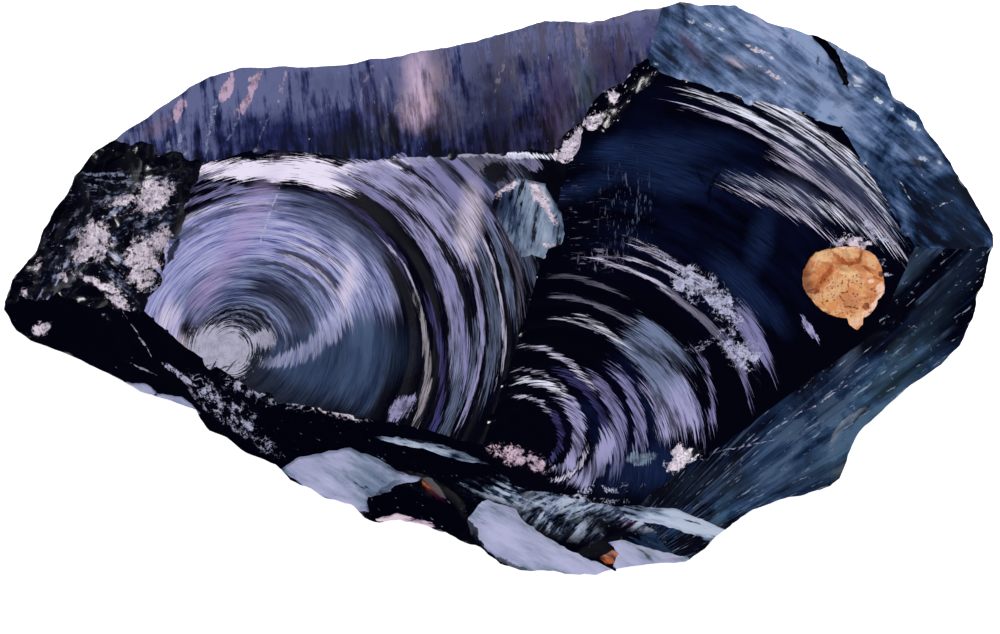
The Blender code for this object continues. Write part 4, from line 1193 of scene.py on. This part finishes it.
def black_skin(name, turn, rows, amount, fleck_tone):
    """Black glass with a few drawn scratches and the marks of its table."""
    p = Skin(name, "black", 0.16)
    drawn = p.drawn(turn, 6, 900, 6, 0.7)
    p.lay(p.span(drawn, 0.50, 0.70, 0, 0.7), "ink")
    p.marks(rows, drawn, 3.0)
    p.flecks(p.drawn(turn, 3.0, 2200, 3, 0.65), amount, fleck_tone, 0.8)
    p.raise_by(p.times(drawn, 0.4))
    return p


def ice_skin(name, turn, threshold, rows, stops):
    """A facet of glass in a ramp of tones, feathered with dark streaks; the pale ice facets carry a painted
    reflection.
    """
    p = Skin(name, "ice", 0.2)
    drawn = p.drawn(turn, 5, 520, 7, 0.74)
    broad = p.drawn(turn + 8, 3, 170, 4, 0.6)
    p.lay(1.0, p.ramp(p.mad(drawn, 0.7, p.mad(broad, 0.9, -0.3)), stops))
    p.lay(p.span(drawn, threshold, threshold - 0.03, 0, 0.95), "ink")
    p.marks(rows, drawn, 3.0)
    p.raise_by(p.times(drawn, 0.4))
    return p.finish(0.05, 0.006, 0.3)


def side_skin():
    """The dark broken walls and the underside."""
    p = Skin("side", "side", 0.13)
    p.lay(p.span(p.noise(p.place, 60, 5, 0.6), 0.45, 0.7, 0, 0.6), "teal_black")
    p.lay(p.span(p.noise(p.place, 420, 6, 0.7), 0.60, 0.70, 0, 0.4), "steel_dark", 0.4)
    p.flecks(p.broken, 0.66, "ice_grey", 0.6)
    return p.finish(0.05, 0.01, 0.3)


def front_skin():
    """The front: black glass with plumes of pale haze."""
    p = black_skin("front", -32, MARKS["front"], 0.68, "ice_grey")
    for *spot, way in PLUMES:
        plume = p.mad(p.drawn(way, 6, 1000, 6, 0.7), 0.75, p.times(p.broken, 0.25))
        share = p.times(p.blob(*spot, 0.6), p.span(plume, 0.455, 0.54))
        p.lay(share, p.mix(p.span(plume, 0.49, 0.58), "sea_pale", "ice"))
    return p.finish(0.04, 0.006, 0.02)


def crushed_skin(rows):
    """The crushed left corner: black glass under smears of powder and heaps of splinters."""
    p = black_skin("crushed", 12, [], 0.70, "crumb")
    for *spot, way in DUST:
        smear = p.mad(p.drawn(way, 4, 900, 6, 0.72), 0.6, p.times(p.broken, 0.4))
        share = p.times(p.blob(*spot, 0.5), p.span(smear, 0.48, 0.58))
        p.lay(p.times(share, 0.8), p.mix(p.span(smear, 0.52, 0.60), "sea", "powder"))
    p.marks(rows, p.drawn(12, 6, 900, 6, 0.7), 3.0)
    return p.finish(0.10, 0.008, 0.3)


def make_stuff():
    """Every material of the stone by its name."""
    broken = MARKS["crushed"] + MARKS["break"]
    great = scar_skin("great", SCARS[0], GREAT_SEAM, GREAT_REFLECTION_STREAKS, great_under)
    left = scar_skin("left", SCARS[1], LEFT_SEAM, LEFT_REFLECTION_STREAKS, left_under)
    made = [
        side_skin(), band_skin(), steel_skin(), teal_skin(), front_skin(), crushed_skin(broken),
        black_skin("black", -35, MARKS["black"], 0.74, "lilac_white").finish(0.03, 0.006, 0.25),
        black_skin("break", 50, broken, 0.64, "crumb").finish(0.10, 0.008, 0.3),
        great.finish(0.03, 0.004, 0.35), left.finish(0.03, 0.004, 0.16),
    ]
    made += [ice_skin(*row) for row in [
        ("ice", -32, 0.39, FEATHERS, ICE),
        ("ice_streaked", -14, 0.44, [], [(0.42, "sea_dark"), (0.50, "ice_grey"), (0.58, "ice")]),
        ("amber", -40, 0.44, [], [(0.43, "maroon"), (0.49, "umber"), (0.54, "amber"), (0.62, "clay")]),
        ("pink", -5, 0.45, [], [(0.42, "plum_dark"), (0.50, "rose"), (0.58, "white_pink")]),
        ("lobe", 78, 0.42, MARKS["lobe"], [(0.36, "ink"), (0.46, "sea"), (0.58, "ice_grey"), (0.74, "ice")]),
    ]]
    return {stuff.name: stuff for stuff in made}


STUFF = make_stuff()


# ---------------------------------------------------------------- the stone

def flake(name, stuff, deep, points, skin, seed):
    """A cutter for one crisp facet: a shallow dish under a jagged outline seen from above."""
    flat = np.array(divided(points, 0.6))
    flat += 0.22 * np.column_stack([fbm(flat, 1.1, 3, seed), fbm(flat, 1.1, 3, seed + 5)])
    middle = flat.mean(axis=0)
    found = []
    for x, y in np.vstack([flat, (flat + middle) / 2]):
        hit, normal = look_down(skin, x, y)
        if hit is not None and normal.z > 0.4:
            found.append((x, y, 1.0, (SHOP.inverted() @ hit).z))
    found = np.array(found)
    plane = np.linalg.lstsq(found[:, :3], found[:, 3], rcond=None)[0]
    count = len(flat)
    verts, faces = [], []
    for size in (1.0, 0.8, 0.55, 0.3):
        part = middle + (flat - middle) * size
        level = part @ plane[:2] + plane[2] - deep * (0.55 + 0.45 * (1 - size ** 2))
        verts += list(zip(part[:, 0], part[:, 1], level))
    verts.append((*middle, middle @ plane[:2] + plane[2] - deep))
    for ring in range(3):
        faces += strip(ring * count, (ring + 1) * count, count, inward=True)
    faces += [(3 * count + i, 4 * count, 3 * count + (i + 1) % count) for i in range(count)]
    top = len(verts)
    verts += [(x, y, z + 9.0) for x, y, z in verts[:count]]
    faces += strip(0, top, count) + [cap(top, count)]
    return outward(solid(name, verts, faces, SHOP, STUFF[stuff]))


RIDGE_CHIPS = 230  # how many nicks are tried along the ridges and the outer edge
RIDGE_GAP = 2.5  # the least distance between two nicks, as a share of their sizes together
RIDGE_ANGLE = math.radians(14)  # how sharp a ridge is that takes nicks
UNCHIPPED = {"amber", "pink", "ice", "ice_streaked"}


def ridges_of(mesh):
    """Every edge where two stuffs meet sharply: its middle, its normal and its two faces."""
    sides = {}
    for polygon in mesh.polygons:
        for key in polygon.edge_keys:
            sides.setdefault(key, []).append(polygon)
    ridges = []
    for (a, b), pair in sides.items():
        if len(pair) == 2 and pair[0].material_index != pair[1].material_index:
            one, two = pair
            names = {mesh.materials[side.material_index].name for side in pair}
            sharp = one.normal.angle(two.normal, 0.0) > RIDGE_ANGLE
            if sharp and not names & UNCHIPPED and one.normal.z + two.normal.z > 0.5:
                middle = (mesh.vertices[a].co + mesh.vertices[b].co) / 2
                ridges.append((middle, (one.normal + two.normal).normalized(), one, two))
    ridges.sort(key=lambda row: (round(row[0].x, 6), round(row[0].y, 6)))
    return ridges


def ridge_chips(stone):
    """Small nicks along the ridges, one cutter for each material that they show."""
    ridges = ridges_of(stone.data)
    taken, shapes = [], {}
    for pick in rng.integers(0, len(ridges), RIDGE_CHIPS):
        middle, normal, one, two = ridges[pick]
        size, angle, side = rng.random(3)
        size = 0.28 + 0.9 * size ** 2.2
        spot = SHOP.inverted() @ middle
        if any((spot - other).length < (size + wide) * RIDGE_GAP for other, wide in taken):
            continue
        taken.append((spot, size))
        stuff = stone.data.materials[(one if side < 0.5 else two).material_index].name
        verts, faces = dish_shape(size, size * 0.30, 1.3, spot.x + 7 * spot.y, 3, 9, 0.0)
        place = stand_on(middle, normal, angle * 180)
        all_verts, all_faces = shapes.setdefault(stuff, ([], []))
        start = len(all_verts)
        all_verts.extend(place @ Vector(v) for v in verts)
        all_faces.extend(tuple(start + i for i in face) for face in faces)
    return [solid(f"nicks_{stuff}", *shape, SHOP, STUFF[stuff]) for stuff, shape in shapes.items()]


def band_hollow(flat):
    """The upper band is hollow along its lower side, which pulls its ridge with the left scar down."""
    x, y = flat[:, 0], flat[:, 1]
    return -1.8 * smooth(x, -29, -7) * smooth(x, 26, 18) * smooth(y, 7, -3)


# how uneven each face is: height and fineness of its waves, width and depth of its small flakes
ROUGH = {
    "band": (0.16, 0.16, 6.0, 0.16), "crushed": (0.30, 0.3, 3.6, 1.0), "black": (0.10, 0.10, 11.0, 0.30),
    "teal": (0.12, 0.12, 9.0, 0.20), "front": (0.10, 0.12, 6.0, 0.45), "steel": (0.12, 0.12, 9.0, 0.20),
}


def face_cutters():
    """The great faces round the two scars."""
    for number, face in enumerate(FACES):
        height = uneven(3.1 * number, *ROUGH[face.stuff])
        if face.stuff == "band":
            height = lambda flat, under=height: under(flat) + band_hollow(flat)
        yield plate(face, STUFF[face.stuff], height)


def side_cutters(skin):
    """The shell-shaped scars of the side walls, each struck from outside."""
    for number, (angle, height, half, deep) in enumerate(SIDE_SCARS):
        away = compass(angle)
        hit, normal, _, _ = skin.ray_cast(SHOP @ Vector((*CENTRE, height)) + away * (ABOVE * MM), -away)
        name = f"side_{number:02d}"
        yield dish(name, hit, normal, half, deep, STUFF["side"], rings=16, steps=96, rough=0.05)


def scar_cutters():
    """The bowls of the two great scars."""
    great, left = SCARS
    yield bowl(great, STUFF["great"], waves(great, GREAT_REFLECTION_STREAKS, 0.006, 0.045, 6, 1.7), 0.32)
    yield bowl(left, STUFF["left"], waves(left, LEFT_REFLECTION_STREAKS, 0.008, 0.035, 20, 4.2), 0.26)


def chip_cutters(skin):
    """The small flake scars of the table."""
    for number, (across, up, half, deep, long, angle, stuff) in enumerate(CHIPS):
        hit, normal = look_down(skin, across, up)
        yield dish(f"chip_{number:02d}", hit, normal, half, deep, STUFF[stuff], long, angle)


BORDER_ANGLE, CREASE_ANGLE = math.radians(10), math.radians(28)


def sharpen(mesh):
    """Keeps an edge crisp where two blows meet and wherever the skin turns sharply."""
    bm = bmesh.new()
    bm.from_mesh(mesh)
    for edge in bm.edges:
        if len(edge.link_faces) == 2:
            one, two = edge.link_faces
            border = one.material_index != two.material_index
            edge.smooth = one.normal.angle(two.normal, 0.0) < (BORDER_ANGLE if border else CREASE_ANGLE)
    bm.to_mesh(mesh)
    bm.free()


def build_stone():
    """The stone, struck in the order in which its scars lie over each other."""
    stone = blank(STUFF["side"])
    bpy.context.scene.collection.objects.link(stone)
    carve(stone, list(face_cutters()))
    carve(stone, list(side_cutters(skin_of(stone))))
    carve(stone, list(scar_cutters()))
    carve(stone, list(chip_cutters(skin_of(stone))))
    skin = skin_of(stone)
    carve(stone, [flake(*row, skin, 2.7 * number) for number, row in enumerate(FACETS)])
    carve(stone, ridge_chips(stone))
    carve(stone, [pocket(STUFF["great"])])
    stone.data.validate()
    stone.data.shade_smooth()
    sharpen(stone.data)
    return stone


# ---------------------------------------------------------------- the nodule

NODULE_AT, NODULE_FACES, NODULE_LEAN = (50.9, 0.6, 27.1), -32, 4.0
NODULE_UNDER = [(0.0, -4.3), (0.4, -4.0), (0.72, -3.0), (0.92, -1.5)]  # share of the rim's reach, height
NODULE_GAP = 0.16
NODULE_TOP, NODULE_DEPTH = 0.85, 1.5  # the highest fold, and how much deeper the others lie than in the table
NODULE_STEPS, NODULE_RINGS = 280, 76
POCKET_STEPS = 96


def rim_at(angle):
    """How far out, and how high, the nodule's rim is at an angle round it."""
    rows = sorted((math.atan2(y, x), math.hypot(x, y), z) for x, y, z in NODULE_RIM)
    rows = [(rows[-1][0] - 2 * math.pi, *rows[-1][1:])] + rows + [(rows[0][0] + 2 * math.pi, *rows[0][1:])]
    ways, reaches, heights = zip(*rows)
    ragged = [
        1 + 0.022 * noise.noise(Vector((5 * math.cos(a), 5 * math.sin(a), 2)))
        + 0.014 * noise.noise(Vector((17 * math.cos(a), 17 * math.sin(a), 5))) for a in angle
    ]
    return np.interp(angle, ways, reaches) * np.array(ragged), np.interp(angle, ways, heights)


def around(steps):
    """This many angles round a circle."""
    return np.linspace(-math.pi, math.pi, steps + 1)[:-1]


def nodule_place():
    """Where the nodule sits in its pocket, and how it is tilted."""
    return SHOP @ Matrix.Translation(Vector(NODULE_AT)) @ facing(NODULE_FACES, NODULE_LEAN)


def pocket(stuff):
    """The hole that the nodule sits in."""
    ways = around(POCKET_STEPS)
    reach = rim_at(ways)[0] + NODULE_GAP
    verts = [(0.0, 0.0, NODULE_UNDER[0][1] - NODULE_GAP)]
    levels = NODULE_UNDER[1:] + [(1.0, 0.0), (1.0, 7.0)]
    for size, level in levels:
        verts += circle(reach, ways, size, level - NODULE_GAP)
    count = len(ways)
    faces = [(0, 1 + i, 1 + (i + 1) % count) for i in range(count)]
    rings = [1 + ring * count for ring in range(len(levels))]
    for low, high in zip(rings, rings[1:]):
        faces += strip(low, high, count, inward=True)
    faces.append(cap(rings[-1], count))
    return outward(solid("pocket", verts, faces, nodule_place(), stuff))


def folded_plates():
    """The nodule's plates between the points of its tables, as a surface to look down on."""
    rim = [(x, y) for x, y, _ in NODULE_RIM]
    points = [Vector((x, y)) for x, y, _ in NODULE_RIM + NODULE_CREST]
    heights = [z for _, _, z in NODULE_RIM + NODULE_CREST]
    edges = [(i, (i + 1) % len(rim)) for i in range(len(rim))]
    made = geometry.delaunay_2d_cdt(points, edges, [], 1, 1e-5)
    places = [
        Vector((p.x * 1.02, p.y * 1.02, NODULE_TOP - (NODULE_TOP - heights[source[0]]) * NODULE_DEPTH))
        for p, source in zip(made[0], made[3])
    ]
    return BVHTree.FromPolygons(places, [tuple(face) for face in made[2]])


def build_nodule(stuff):
    """A crust of folded plates round a hollow with a boss, over the deep dish of the ball's under side."""
    plates = folded_plates()
    ways = around(NODULE_STEPS)
    reach, edge_z = rim_at(ways)
    verts = [(0.0, 0.0, NODULE_UNDER[0][1])]
    for size, level in NODULE_UNDER[1:]:
        verts += circle(reach, ways, size, level)
    for ring in range(NODULE_RINGS):
        size = 1.0 - ring / NODULE_RINGS
        for (x, y, _), z in zip(circle(reach, ways, size, 0), edge_z):
            hit = plates.ray_cast(Vector((x, y, 9)), Vector((0, 0, -1)))[0]
            level = hit.z if hit is not None else z
            if size == 1.0:
                level = z - 0.25
            grain = noise.fractal(Vector((x, y, 3.0)) * 1.6, 0.8, 2.1, 5) * 0.07
            fine = noise.fractal(Vector((x, y, 8.0)) * 6.0, 0.6, 2.1, 3) * 0.018
            verts.append((x, y, level + (grain + fine) * min(1.0, (1 - size) * 12)))
    verts.append((0.0, 0.0, plates.ray_cast(Vector((0, 0, 9)), Vector((0, 0, -1)))[0].z))
    count = NODULE_STEPS
    rings = range(1, len(verts) - 1, count)
    faces = tip(0, 1, count)
    for low, high in zip(rings, rings[1:]):
        faces += strip(low, high, count)
    faces += [(rings[-1] + i, rings[-1] + (i + 1) % count, len(verts) - 1) for i in range(count)]
    ball = outward(solid("spherulite_nodule", verts, faces, nodule_place(), stuff))
    ball.data.shade_smooth()
    bpy.context.scene.collection.objects.link(ball)
    return ball


def crust_skin():
    """The dull orange crust: pale plates partly painted with light on their tops, folds painted in brown
    shade, cracks, dark specks, and a painted shadow along the left rim.
    """
    p = Skin("crust", "crust", 0.75)
    middle = SHOP.inverted() @ nodule_place().translation
    grain = p.noise(p.place, 900, 7, 0.7)
    blotch = p.noise(p.place, 380, 6, 0.7)
    p.lay(p.span(blotch, 0.46, 0.58, 0, 0.75), "cream")
    p.lay(p.span(grain, 0.50, 0.60, 0, 0.8), "clay")
    shred = p.mad(grain, 2.4, -0.05)
    for x, y, long, wide, turn, share, tone in NODULE_MARKS:
        mark = p.torn(middle.x + x, middle.y + y, long, wide, turn, shred, 0.35)
        p.lay(p.times(mark, share, p.span(p.broken, 0.40, 0.55, 0.6, 1)), tone)
    p.lay(p.span(p.broken, 0.53, 0.64, 0, 0.6), "rust")
    lower = p.blob(middle.x + 0.6, middle.y - 1.8, 5.0, 3.2, 0, 0.5)
    dots = p.noise(p.place, 2300, 3, 0.6)
    specks = p.most(p.span(dots, 0.67, 0.71, 0, 0.8), p.times(lower, p.span(dots, 0.60, 0.65, 0, 0.85)))
    p.lay(specks, "umber")
    # painted shadow: the crust darkens along its left rim
    p.lay(p.times(p.blob(middle.x - 6.3, middle.y + 0.4, 1.5, 4.2, 8, 0.6), 0.7), "umber")
    p.raise_by(p.less(grain, p.times(specks, 0.8)))
    return p.finish(0.16, 0.02, 0.25)


ball = build_nodule(crust_skin())
stone = build_stone()
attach(stone, "root")
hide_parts("obsidian")
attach(ball, "root")
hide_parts("spherulite")


# ---------------------------------------------------------------- floor, light and camera

CAMERA_HEIGHT, CAMERA_UP = 0.895, -0.0042
SEEN_WIDE, SEEN_HEIGHT = 0.150, 0.015  # how much of a level plane the picture's width shows, and its height
FLOOR_HALF, FLOOR_GREY, FLOOR_GLOW = 3, 0.9, 0.8
SKY = [
    (0.0, (0.16, 0.17, 0.20)), (0.35, (0.12, 0.13, 0.16)), (0.62, (0.015, 0.018, 0.03)),
    (0.92, (0.003, 0.004, 0.008)),
]
# degrees off straight up, compass way, distance, width and length (m), radiance, colour, seen in reflections
LIGHTS = {
    "key_left": (33, 160, 0.7, 0.34, 0.016, 4.5, (0.90, 0.88, 1.0), True),
    "far_left": (48, 163, 0.8, 0.30, 0.020, 3, (0.90, 0.88, 1.0), True),
    "back_right": (44, 38, 0.8, 0.35, 0.12, 0.5, (0.75, 0.88, 1.0), True),
    "back_high": (28, 80, 0.9, 0.24, 0.24, 36, (1.0, 0.99, 0.98), True),
    "front_high": (50, -68, 0.9, 0.20, 0.20, 26, (0.98, 0.99, 1.0), False),
}


def area_light(name, zenith, way, distance, wide, tall, radiance, colour, glossy):
    """A soft box that looks at the stone; radiance is how bright its face looks."""
    light = bpy.data.lights.new(name, "AREA")
    light.shape = "RECTANGLE"
    light.size, light.size_y = wide, tall
    light.energy = radiance * math.pi * wide * tall
    light.color = colour
    lamp = bpy.data.objects.new(name, light)
    tilt = math.radians(zenith)
    at = (compass(way) * math.sin(tilt) + Vector((0, 0, math.cos(tilt)))) * distance
    lamp.location = at + Vector((0, 0, 0.02))
    lamp.rotation_mode = "QUATERNION"
    lamp.rotation_quaternion = (-at).to_track_quat("-Z", "Y")
    lamp.visible_camera, lamp.visible_glossy = False, glossy
    bpy.context.scene.collection.objects.link(lamp)


camera = bpy.data.objects.new("camera", bpy.data.cameras.new("camera"))
camera.location = (CENTRING[0] * MM, CAMERA_UP + CENTRING[1] * MM, CAMERA_HEIGHT)
camera.data.lens = 36 * (CAMERA_HEIGHT - SEEN_HEIGHT) / SEEN_WIDE
camera.data.clip_start = 0.01
bpy.context.scene.collection.objects.link(camera)
bpy.context.scene.camera = camera

floor_mesh = bpy.data.meshes.new("floor")
corners = [(-1, -1, 0), (1, -1, 0), (1, 1, 0), (-1, 1, 0)]
floor_mesh.from_pydata([Vector(corner) * FLOOR_HALF for corner in corners], [], [(0, 1, 2, 3)])
floor = bpy.data.objects.new("floor", floor_mesh)
bpy.context.scene.collection.objects.link(floor)
paper = bpy.data.materials.new("floor")
paper.use_nodes = True
sheet = paper.node_tree.nodes["Principled BSDF"].inputs
sheet["Base Color"].default_value = (FLOOR_GREY, FLOOR_GREY, FLOOR_GREY, 1)
sheet["Roughness"].default_value = 0.8
sheet["Emission Color"].default_value = (1, 1, 1, 1)
sheet["Emission Strength"].default_value = FLOOR_GLOW
floor_mesh.materials.append(paper)

world = bpy.data.worlds.new("world")
bpy.context.scene.world = world
world.use_nodes = True
sky = Nodes(world.node_tree)
height = sky.separate(sky.node("TexCoord", out="Generated"))["Z"]
sky.link(sky.ramp(height, SKY), sky.tree.nodes["Background"].inputs["Color"])
bpy.context.scene.view_settings.view_transform = "Standard"
for name, row in LIGHTS.items():
    area_light(name, *row)
